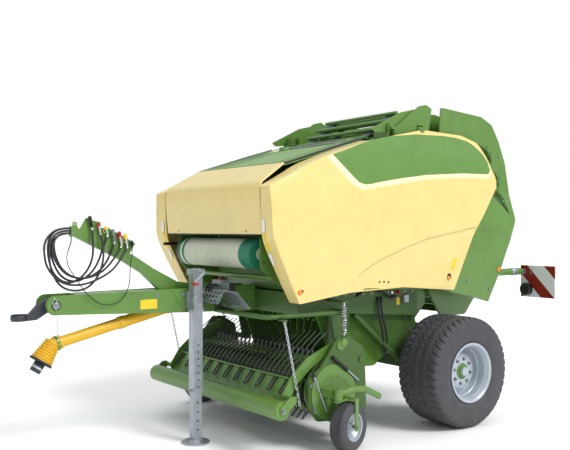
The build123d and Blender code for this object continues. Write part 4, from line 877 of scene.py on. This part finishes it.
# Net roll
NET_X = 1950
NET_Z = 1680
NET_PLATE_Y = 706


def net_roll():
    """The net roll with its dark cap, teal ends and pale band, and the rods and bolts beside it."""
    shape = Shape("net_roll_detail")
    # radius, y and the material of the stretch up to it
    rows = ((136, -646, BLACK), (137, -612, BLACK), (137, -560, TEAL), (136.5, -556, PALE),
        (136.5, -540, PALE), (137, -536, TEAL), (136, -490, TEAL), (135, -480, NET), (135, 470, NET),
        (136, 480, TEAL), (136, 646, TEAL))
    for (r0, y0, _), (r1, y1, material) in zip(rows, rows[1:]):
        shape.use(material).turned([(r0, y0), (r1, y1)], (NET_X, 0, NET_Z), OUT, 64)
    for _ in shape.sides():
        shape.use(NET).turned([(60, 0), (60, 1.8), (30, 2)], (NET_X, 646, NET_Z), OUT, 32)
    obj = shape.done("net_roll")
    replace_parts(obj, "net_roll")
    rest = Shape("net_fittings", GREEN)
    for _ in rest.sides():
        rest.bolts(((1720, 1400), (1980, 1600), (1960, 1780), (1880, 2040), (1620, 2180)), NET_PLATE_Y + 6,
            10, 8)
        rest.use(GREEN).turned([(58, 0), (58, 6), (40, 10)], (NET_X, NET_PLATE_Y, NET_Z), OUT, 28)
    rest.use(GREEN).rod((1860, -700, 1470), (1860, 700, 1470), 22)
    rest.rod((1790, -700, 1960), (1790, 700, 1960), 20)
    rest.use(BLACK).rod((1800, -640, 1560), (1800, 640, 1560), 30, 24)
    rest.use(GREEN).plate([(1575, 1340), (1600, 1340), (1610, 1900), (1575, 1960)], -600, 600)
    rest.done("frame")


net_roll()


# Chamber's top
def belt_clips():
    """Silver clips that hold the slats to the belts."""
    top_front = ((150, 3095), (400, 2927), (640, 2765), (870, 2612))
    top_rear = ((-250, 2980), (-480, 2920), (-700, 2860), (-880, 2680), (-990, 2480))
    for name, body, points in (("belt_clips_front", "frame", top_front),
            ("belt_clips_rear", "tailgate", top_rear)):
        shape = Shape(name, CHROME)
        for (x0, z0), (x1, z1) in zip(points, points[1:]):
            for t in (0.15, 0.6):
                x = x0 + (x1 - x0) * t
                z = z0 + (z1 - z0) * t
                for y in (-450, 450):
                    shape.box(x - 16, x + 16, y - 34, y - 20, z - 30, z - 12)
                    shape.box(x - 16, x + 16, y + 20, y + 34, z - 30, z - 12)
        shape.done(body)


belt_clips()


# Drawbar, jack, shaft
PIN_X = 3607
PIN_Z = 1284
DRAWBAR_Y = 125


def drawbar():
    """Bolts, blank plates, straps and pin clip on the drawbar, and the tow eye's ring."""
    shape = Shape("drawbar_detail", GREEN)
    for _ in shape.sides():
        shape.bolts(((1720, 1200), (1720, 1310), (2010, 1200), (2010, 1310), (2360, 1200), (2440, 1320),
            (2700, 1320)), DRAWBAR_Y, 11, 9)
        shape.use(GREEN).turned([(74, 0), (74, 9), (66, 10), (40, 10), (40, 0)], (PIN_X, DRAWBAR_Y, PIN_Z),
            OUT, 40)
        shape.use(YELLOW).plate([(2700, 1208), (2860, 1208), (2860, 1290), (2700, 1290)], DRAWBAR_Y - 1,
            DRAWBAR_Y + 1.5)
        shape.use(GREEN).plate([(2377, 1153), (2430, 1160), (2560, 1370), (2500, 1370)], DRAWBAR_Y - 2,
            DRAWBAR_Y + 4)
    shape.use(CHROME).pipe(curve([(PIN_X, 140, PIN_Z), (PIN_X, 142, 1320), (3624, 142, 1344),
        (3640, 142, 1312), (3622, 142, 1262), (PIN_X, 141, 1250)], 5), 3.2, 8)
    shape.use(STEEL).turned([(26, 0), (26, 6), (18, 9), (0.5, 9)], (PIN_X, 139, PIN_Z), OUT, 24)
    shape.done("frame")
    eye = Shape("tow_eye_detail", IRON)
    eye.turned([(25.5, -25), (60, -25), (64, -18), (66, 0), (64, 18), (60, 25), (25.5, 25)], (3863, 0, 1192),
        (0, 0, 1), 48, loop=True)
    eye.done("frame")


drawbar()


JACK_X = 2358
JACK_Y = 205


def jack():
    """The jack's gear head, crank grip, cap, collars, ring, black discs painted as the shade in its holes,
    and foot.
    """
    shape = Shape("jack_detail", ZINC)
    x = JACK_X
    y = JACK_Y
    shape.turned([(52, 0), (52, 40), (44, 52), (20, 56), (0.5, 56)], (x, y, 1490), (0, 0, 1), 32)
    shape.turned([(36, -30), (36, 44), (30, 50), (12, 50)], (x, y, 1516), OUT, 28)
    shape.use(RED).turned([(15, 0), (16, 50), (13, 70), (4, 74)], (x + 105, 345, 1425), OUT, 20)
    shape.turned([(13, 0), (13, 8)], (x, y, 1544), (0, 0, 1), 20)
    shape.use(ZINC)
    for z in (1180, 1340):
        for x0, x1, y0, y1 in ((-52, 52, -52, -45), (-52, 52, 45, 52), (-52, -45, -45, 45),
                (45, 52, -45, 45)):
            shape.box(x + x0, x + x1, y + y0, y + y1, z - 12, z + 12)
    shape.ring((x, y + 42, 1262), OUT, 44, 6, 28)
    # painted shade: thin black discs stand for the dark insides of the leg's holes
    shape.use(BLACK)
    for k in range(7):
        shape.turned([(8, 0), (8, 1.5)], (x, y + 45, 500 + 62 * k), OUT, 14)
    for flip in (1, -1):
        shape.use(STEEL).rod((x + 44 * flip, y, 470), (x + 70 * flip, y, 470), 9)
    shape.ring((x + 78, y, 458), OUT, 14, 3, 20)
    shape.done("frame")
    foot = Shape("jack_foot_detail", ZINC)
    foot.turned([(121, 11), (124, 14), (118, 17), (70, 14), (60, 22), (58, 34), (0.5, 34)], (x, y, 0),
        (0, 0, 1), 48)
    # painted shade: thin black discs stand for the dark insides of the foot tube's holes
    for z in (120, 200, 280, 360):
        foot.use(BLACK).turned([(9, -1), (9, 0.3)], (x, y + 39.5, z), OUT, 16)
    foot.done("jack_leg")


jack()
SHAFT_BACK = Vector((2250, 0, 1262))
SHAFT_FRONT = Vector((3598, 0, 953))
BELL = Vector((0.563, 0, -0.827))


def shaft():
    """The guard tube with its collars, the ribbed bell guard, the two thin chains and the yoke."""
    shape = Shape("shaft_detail", PLASTIC)
    way = (SHAFT_FRONT - SHAFT_BACK).normalized()
    size = (SHAFT_FRONT - SHAFT_BACK).length
    rows = [(52, 0), (52, 250), (58, 252), (58, 300), (50, 304), (50, size * 0.52), (55, size * 0.52 + 2),
        (55, size * 0.52 + 60), (47, size * 0.52 + 64), (47, size - 90), (56, size - 86), (58, size - 60),
        (58, size - 20), (50, size)]
    shape.turned(rows, SHAFT_BACK, way, 40)
    bell = [(60, -30)]
    for k in range(7):
        t = -20 + 24 * k
        r = 66 + 32 * (t + 20) / 185
        bell += [(r + 3, t), (r + 4, t + 7), (r - 3, t + 12), (r - 3, t + 19)]
    bell += [(97, 160), (98, 165), (91, 165), (84, 120), (64, 32), (50, 28)]
    shape.turned(bell, SHAFT_FRONT, BELL, 48)
    shape.use(BLACK).turned([(99, 148), (100, 152), (100, 162), (98, 165), (90, 165)], SHAFT_FRONT, BELL, 48)
    shape.use(GREEN).turned([(60, -62), (63, -60), (63, -34), (60, -32)], SHAFT_FRONT, way, 40)
    for k in range(10):
        a = 2 * math.pi * k / 10
        u, v = across(way)
        out = u * math.cos(a) + v * math.sin(a)
        tip = SHAFT_FRONT + way * -48 + out * 62
        shape.use(YELLOW).turned([(9, 0), (9, 3)], tip, out, 3)
    shape.use(CHROME)
    for start, end, sag in ((Vector((3560, 40, 1010)), Vector((3585, 112, 1212)), 30),
            (Vector((2330, 40, 1290)), Vector((2300, 96, 1345)), 10)):
        chain(shape, start, end, sag, 12 if start.x > 3000 else 5, 9, 2)
    obj = shape.done("frame")
    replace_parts(obj, "shaft_tube")
    yoke = Shape("yoke_detail", IRON)
    yoke.turned([(34, 32), (34, 110), (46, 124), (46, 150), (42, 160), (46, 170), (46, 240), (43, 247),
        (18, 247), (18, 190)], SHAFT_FRONT, BELL, 40)
    yoke.use(CHROME).turned([(47, 196), (49, 200), (49, 214), (47, 218)], SHAFT_FRONT, BELL, 40)
    obj = yoke.done("shaft_yoke")
    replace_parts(obj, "shaft_yoke")


def chain(shape, start, end, sag, count, half, r):
    """Oval links hung between two points, each turned a quarter from the last."""
    points = []
    for i in range(count + 1):
        t = i / count
        points.append(start.lerp(end, t) + Vector((0, 0, -4 * sag * t * (1 - t))))
    for i, (a, b) in enumerate(zip(points, points[1:])):
        way = (b - a).normalized()
        u, v = across(way)
        side = u if i % 2 else v
        mid = (a + b) / 2
        long = (b - a).length / 2 + r * 1.1
        ring = [mid + way * (long * c) + side * (half * 0.62 * s) for c,
            s in ((math.cos(k * math.pi / 5), math.sin(k * math.pi / 5)) for k in range(10))]
        shape.pipe(ring, r, 6, loop=True)


shaft()


def step_plate():
    """The step with its rows of slots, and the valve block with its hoses."""
    shape = Shape("step_detail", ZINC)
    line = ((2292, 1252), (2227, 1366), (2090, 1338), (1950, 1187))
    for (x0, z0), (x1, z1) in zip(line, line[1:]):
        for y0, y1 in ((128, 150), (450, 472)):
            shape.slab([(x0, y0, z0), (x1, y0, z1), (x1, y1, z1), (x0, y1, z0)], (0, 0, -6))
        bars = 6 if abs(x1 - x0) > 100 else 3
        for k in range(bars + 1):
            t = k / bars
            w = 0.2 / bars
            xa, za = x0 + (x1 - x0) * max(t - w, 0), z0 + (z1 - z0) * max(t - w, 0)
            xb, zb = x0 + (x1 - x0) * min(t + w, 1), z0 + (z1 - z0) * min(t + w, 1)
            shape.slab([(xa, 150, za), (xb, 150, zb), (xb, 450, zb), (xa, 450, za)], (0, 0, -6))
        for y in (205, 260, 315, 370, 425):
            shape.slab([(x0, y - 7, z0), (x1, y - 7, z1), (x1, y + 7, z1), (x0, y + 7, z0)], (0, 0, -6))
    obj = shape.done("frame")
    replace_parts(obj, "step_plate")
    block = Shape("valve_block", ZINC)
    block.box(2020, 2150, 150, 290, 1345, 1440)
    block.use(BLACK).box(2050, 2120, 300, 380, 1350, 1415)
    for y in (180, 225, 270):
        block.use(CHROME).rod((2150, y, 1400), (2182, y, 1400), 14, 18)
        block.use(BLACK).pipe(curve([(2180, y, 1400), (2215, y, 1398), (2235, y + 6, 1340),
            (2200, y + 10, 1260), (2120, y + 10, 1200), (1990, y, 1160)], 5), 10, 10)
        block.use(RED if y < 200 else BLACK).rod((2085, y, 1440), (2085, y, 1470), 13, 16)
    block.use(GREY).plate([(2150, 1350), (2260, 1350), (2260, 1362), (2162, 1362), (2162, 1425),
        (2150, 1425)], 320, 430)
    block.done("frame")


step_plate()


# Pick-up: reel, crop roller and guard pivot as x and z, and the side plates' outer y
REEL_X = 1470
REEL_Z = 475
ROLLER_X = 2062
ROLLER_Z = 400
PIVOT_X = 1362
PIVOT_Z = 905
PLATE_Y = 1055


def pickup():
    """The guard's springs and comb, the side plates' fittings, and the reel's tines and bands, with a black
    drum inside the reel that is partly its shaft and partly painted shade.
    """
    guard = Shape("guard_detail", GREEN)
    for i in range(11):
        y = -900 + i * 180
        guard.use(BLACK).pipe([(1848, y - 22, 610), (1926, y - 22, 516), (1934, y - 16, 507),
            (1937, y - 6, 503), (1937, y + 6, 503), (1934, y + 16, 507), (1926, y + 22, 516),
            (1848, y + 22, 610)], 7, 8)
        guard.use(STEEL).bolt((1892, y, 530), (0.86, 0, 0.51), 8, 7)
    guard.use(GREEN)
    for _ in guard.sides():
        guard.turned([(70, 0), (70, 5), (30, 7), (30, 0)], (ROLLER_X, 1100.5, ROLLER_Z), OUT, 40)
        guard.use(STEEL).bolt((ROLLER_X, 1121, ROLLER_Z), OUT, 16, 12)
        guard.use(GREEN).turned([(34, 0), (34, 12)], (PIVOT_X, 1066, PIVOT_Z), OUT, 28)
    guard.done("guard")
    comb = Shape("comb_detail", TINE)
    for i in range(27):
        y = -930 + i * 1860 / 26
        comb.pipe(curve([(1828, y, 622), (1745, y, 722), (1650, y, 822), (1555, y, 906), (1455, y, 978)], 4),
            5, 8)
    obj = comb.done("guard")
    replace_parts(obj, "guard_comb")
    side = Shape("pickup_side_detail", GREEN)
    for _ in side.sides():
        side.use(GREEN).turned([(250, -1), (250, 6), (235, 12), (90, 12), (84, 8), (60, 8), (60, 20),
            (0.5, 20)], (REEL_X, PLATE_Y, REEL_Z), OUT, 56)
        # painted shade: this strip on the side plate is in the darker, shaded green
        side.use(SHADED_GREEN).plate([(1180, 620), (1240, 640), (1560, 700), (1520, 730), (1200, 660)], PLATE_Y,
            PLATE_Y + 3)
        side.use(ORANGE).plate([(1640, 520), (1700, 520), (1700, 590), (1640, 590)], PLATE_Y, PLATE_Y + 2)
        side.use(ZINC).plate([(1700, 330), (1705, 470), (1690, 622), (1660, 610), (1660, 500), (1640, 400),
            (1540, 300), (1600, 278)], PLATE_Y + 3, PLATE_Y + 9)
        for z in (370, 420, 470, 520, 570):
            side.use(BLACK).turned([(8, 0), (8, 8)], (1680, PLATE_Y + 3, z), OUT, 14)
        side.use(ZINC).rod((1560, 1070, 330), (1700, 1070, 640), 9, 12)
        side.use(BLACK).rod((1700, 1070, 640), (1722, 1070, 690), 14, 14)
        side.use(CHROME).rod((1200, 1075, 560), (1410, 1075, 720), 9, 14)
        side.use(BLACK).rod((1330, 1075, 658), (1500, 1075, 788), 15, 16)
        side.bolts(((1150, 740), (1362, 905), (1200, 300), (1350, 262), (1600, 280), (1720, 560)), PLATE_Y,
            12, 9)
        side.use(GREEN).turned([(44, 0), (44, 10), (30, 14)], (1390, PLATE_Y, 880), OUT, 28)
    side.done("pickup")
    reel = Shape("reel_detail", TINE)
    # painted shade: a black drum, partly the reel's shaft, darkens the inside of the reel so the floor does
    # not show through
    reel.use(BLACK).turned([(30, -945), (140, -940), (140, 940), (30, 945)], (REEL_X, 0, REEL_Z), OUT, 40)
    reel.use(TINE)
    for k in range(5):
        a = 2 * math.pi * k / 5 + 0.5
        along_arm = Vector((math.cos(a), 0, math.sin(a)))
        for i in range(26):
            y = -950 + 40 + i * 1820 / 25
            root = Vector((REEL_X, y, REEL_Z)) + along_arm * 175
            reel.turned([(22, -18), (22, -8), (16, -7), (16, 7), (22, 8), (22, 18)], root, OUT, 10)
            for dy in (-12, 12):
                tip = Vector((REEL_X, y + dy, REEL_Z)) + along_arm * 326
                start = root + Vector((0, dy, 0)) + along_arm * 14
                reel.rod(start, tip, 3.2, 6)
    reel.done("pickup_reel")
    bands = Shape("reel_bands", GREEN)
    for i in range(27):
        y = -945 + i * 1890 / 26
        line = curve([(1190, 0, 330), (1215, 0, 560), (1300, 0, 690), (1440, 0, 745), (1590, 0, 690),
            (1690, 0, 560), (1700, 0, 430), (1650, 0, 330)], 4)
        rings = []
        for p in line:
            under = p.x - (p.x - REEL_X) * 0.012
            rings.append([(p.x, y - 14, p.z), (p.x, y + 14, p.z), (under, y + 14, p.z - 2),
                (under, y - 14, p.z - 2)])
        bands.rings(rings)
    bands.done("pickup")


pickup()


def rotor():
    """Curved green strips over the feed rotor."""
    shape = Shape("rotor_strips", GREEN)
    for i in range(13):
        y = -510 + i * 85
        line = curve([(1120, 0, 1010), (1040, 0, 1062), (960, 0, 1068), (860, 0, 1040), (780, 0, 985)], 4)
        shape.rings([[(p.x, y - 20, p.z), (p.x, y + 20, p.z), (p.x, y + 20, p.z + 8), (p.x, y - 20, p.z + 8)]
            for p in line])
    shape.done("frame")


rotor()


def gauge_wheel(side, flip):
    """Grooved tyre and bolted rim of a gauge wheel."""
    turn = math.radians(17 * flip)
    x = 1583 - 150 * math.cos(turn)
    y = flip * 1259 - 150 * math.sin(turn)
    axis = Vector((-math.sin(turn), math.cos(turn), 0))
    centre = (x, y, 210)
    rows = [(121, -66), (134, -69), (150, -73), (168, -75), (188, -71), (200, -60), (207, -48)]
    for t in (-36, -12, 12, 36):
        rows += [(209.5, t - 9), (209.5, t - 3.5), (202, t - 2), (202, t + 2), (209.5, t + 3.5),
            (209.5, t + 9)]
    rows += [(207, 48), (200, 60), (188, 71), (168, 75), (150, 73), (134, 69), (121, 66)]
    shape = Shape(f"gauge_tread_{side}", TYRE)
    shape.turned(rows, centre, axis, 72, loop=True)
    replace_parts(shape.done(f"gauge_wheel_{side}"), f"gauge_tyre_{side}")
    disc = Shape(f"gauge_rim_detail_{side}", RIM_GREY)
    disc.turned([(13, -45), (32, -45), (34, 0), (84, 12), (92, 22), (110, 40), (114, 64), (122, 68),
        (124, 64), (120, 50), (118, -50), (124, -64), (122, -68), (112, -64), (110, -20), (90, 0), (34, -8),
        (30, 45), (13, 45)], centre, axis, 56, loop=True)
    for place in circle(Vector(centre), *across(axis), 62, 5):
        disc.use(STEEL).bolt(place + axis * (6 * flip), axis * flip, 8, 12)
    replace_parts(disc.done(f"gauge_wheel_{side}"), f"gauge_rim_{side}")


for side, flip in SIDES:
    gauge_wheel(side, flip)


# Boards and lamps: x of the boards' front face
BOARD_X = -1409


def boards():
    """Striped rear boards with round lamps, and the fittings on their arms."""
    shape = Shape("board_detail")
    for _ in shape.sides():
        y0, y1 = 870, 1300
        for x, face in ((BOARD_X, 1), (BOARD_X - 16, -1)):
            for a in (750, 1130, 1510):
                for start, width, material in ((a, 170, BOARD_RED), (a + 170, 210, BOARD)):
                    strip = clip([(start, 1155), (start + width, 1155), (start + width - 345, 1500),
                        (start - 345, 1500)], y0, y1)
                    if len(strip) > 2:
                        shape.use(material)
                        shape.slab([(x, y, z) for y, z in strip], (-8 * face, 0, 0))
        shape.use(BLACK).turned([(66, -1), (68, 8), (68, 50), (60, 60)], (-1410, 960, 1240), (1, 0, 0), 40)
        shape.use(RED).turned([(60, 0), (60, 10), (0.5, 13)], (-1414, 960, 1240), (-1, 0, 0), 40)
        shape.use(ZINC).box(BOARD_X, -1380.3, 855, 935, 1402, 1462)
        for z in (1415, 1450):
            shape.use(STEEL).bolt((BOARD_X, 1000, z), (1, 0, 0), 8, 8)
    obj = shape.done("tailgate")
    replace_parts(obj, "warning_boards")
    arms = Shape("light_arm_detail", GREEN)
    for _ in arms.sides():
        arms.use(ZINC).turned([(40, 0), (42, 4), (42, 80), (40, 84)], (-1290, 885, 1432), (1, 0, 0), 32)
        arms.use(STEEL).bolt((-1000, 885, 1470), (0, 0, 1), 9, 7)
    arms.done("tailgate")


def clip(ring, low, high):
    """The part of a ring whose first value lies between two limits."""
    for limit, keep in ((low, 1), (high, -1)):
        out = []
        for (a0, b0), (a1, b1) in zip(ring, ring[1:] + ring[:1]):
            in0 = (a0 - limit) * keep >= 0
            in1 = (a1 - limit) * keep >= 0
            if in0:
                out.append((a0, b0))
            if in0 != in1:
                t = (limit - a0) / (a1 - a0)
                out.append((limit, b0 + (b1 - b0) * t))
        ring = out
        if not ring:
            break
    return ring


boards()


# Chains and springs between the chassis and the pick-up, riding on the frame
def hangers():
    """Linked chains and coil springs between the chassis and the pick-up."""
    for side, flip in SIDES:
        links = Shape(f"chain_links_{side}", CHROME)
        chain(links, Vector((1965, flip * 1003, 1123)), Vector((1800, flip * 1003, 383)), 0, 24, 15, 4)
        obj = links.done("frame")
        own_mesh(obj)
        if side == "left":
            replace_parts(obj, "pickup_chains")
        coil = Shape(f"spring_coil_{side}", CHROME)
        points = []
        for i in range(16 * 11 + 1):
            a = 2 * math.pi * i / 16
            points.append((1300 + 22 * math.cos(a), flip * 1000 + 22 * math.sin(a), 975 + 240 * i / 176))
        coil.pipe(points, 5, 8)
        coil.rod((1300, flip * 1000, 951), (1300, flip * 1000, 980), 9)
        coil.rod((1300, flip * 1000, 1210), (1300, flip * 1000, 1244), 9)
        obj = coil.done("frame")
        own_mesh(obj)
        if side == "left":
            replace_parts(obj, "relief_springs")


hangers()


# Frame's fittings: y of the front lever
LEVER_Y = -806


def fittings():
    """Hose runs, valves and bolts under the covers, the gearbox's face, the lever and the arm's bolts."""
    shape = Shape("frame_fittings", GREEN)
    for _ in shape.sides():
        shape.bolts(((215, 1081), (255, 1016), (189, 892), (372, 832), (92, 945), (40, 700), (-60, 520),
            (60, 480)), 725, 12, 10)
        shape.bolts([(x, 1290) for x in range(220, 1640, 110)], 790, 9, 8)
        shape.use(YELLOW).plate([(400, 1160), (440, 1160), (440, 1230), (400, 1230)], 789, 792)
        for shift in (0, 46):
            shape.use(BLACK).pipe(curve([(700 - shift, 800, 1250), (716 - shift, 818, 1160),
                (690 - shift, 818, 1040), (640 - shift, 800, 920), (600 - shift, 770, 800), (560, 740, 700)],
                6), 11, 10)
        shape.use(BLACK).pipe(curve([(980, 800, 1270), (860, 830, 1330), (700, 834, 1310), (560, 826, 1240),
            (470, 806, 1250)], 6), 12, 10)
        shape.use(RED).turned([(18, 0), (18, 30), (12, 40)], (430, 790, 1285), OUT, 20)
        shape.use(CHROME).turned([(14, 0), (14, 22)], (520, 790, 1285), OUT, 6)
        shape.use(ZINC).box(300, 360, 790, 820, 1180, 1250)
    shape.done("frame")
    box = Shape("gearbox_detail", GREEN)
    box.turned([(110, 0), (110, 14), (80, 20), (60, 60), (52, 64)], (2215, 0, 1262), (1, 0, -0.23), 40)
    for k in range(8):
        a = 2 * math.pi * k / 8
        place = (2228, 94 * math.cos(a), 1258 + 94 * math.sin(a) * 0.8)
        box.use(STEEL).bolt(place, (1, 0, -0.1), 9, 8)
    for x in (1840, 1930, 2020, 2110):
        box.use(GREEN).box(x - 6, x + 6, -103, 103, 1340, 1356)
    box.done("frame")
    lever = Shape("front_lever", GREEN)
    lever.plate([(1560, 1730), (1990, 1742), (1990, 1760), (1560, 1770)], LEVER_Y - 6, LEVER_Y + 6)
    lever.use(BLACK).rod((1990, LEVER_Y, 1752), (2140, LEVER_Y, 1752), 15, 18)
    lever.use(STEEL).rod((1960, LEVER_Y, 1752), (2000, LEVER_Y, 1752), 8)
    lever.box(1560, 1600, LEVER_Y - 6, -690, 1720, 1780)
    lever.done("frame")
    arm = Shape("hose_arm_detail", GREEN)
    arm.bolts(((3417, 1870), (3270, 1788), (3112, 1712), (2960, 1642), (2807, 1560)), 6, 8, 7)
    arm.done("frame")


fittings()
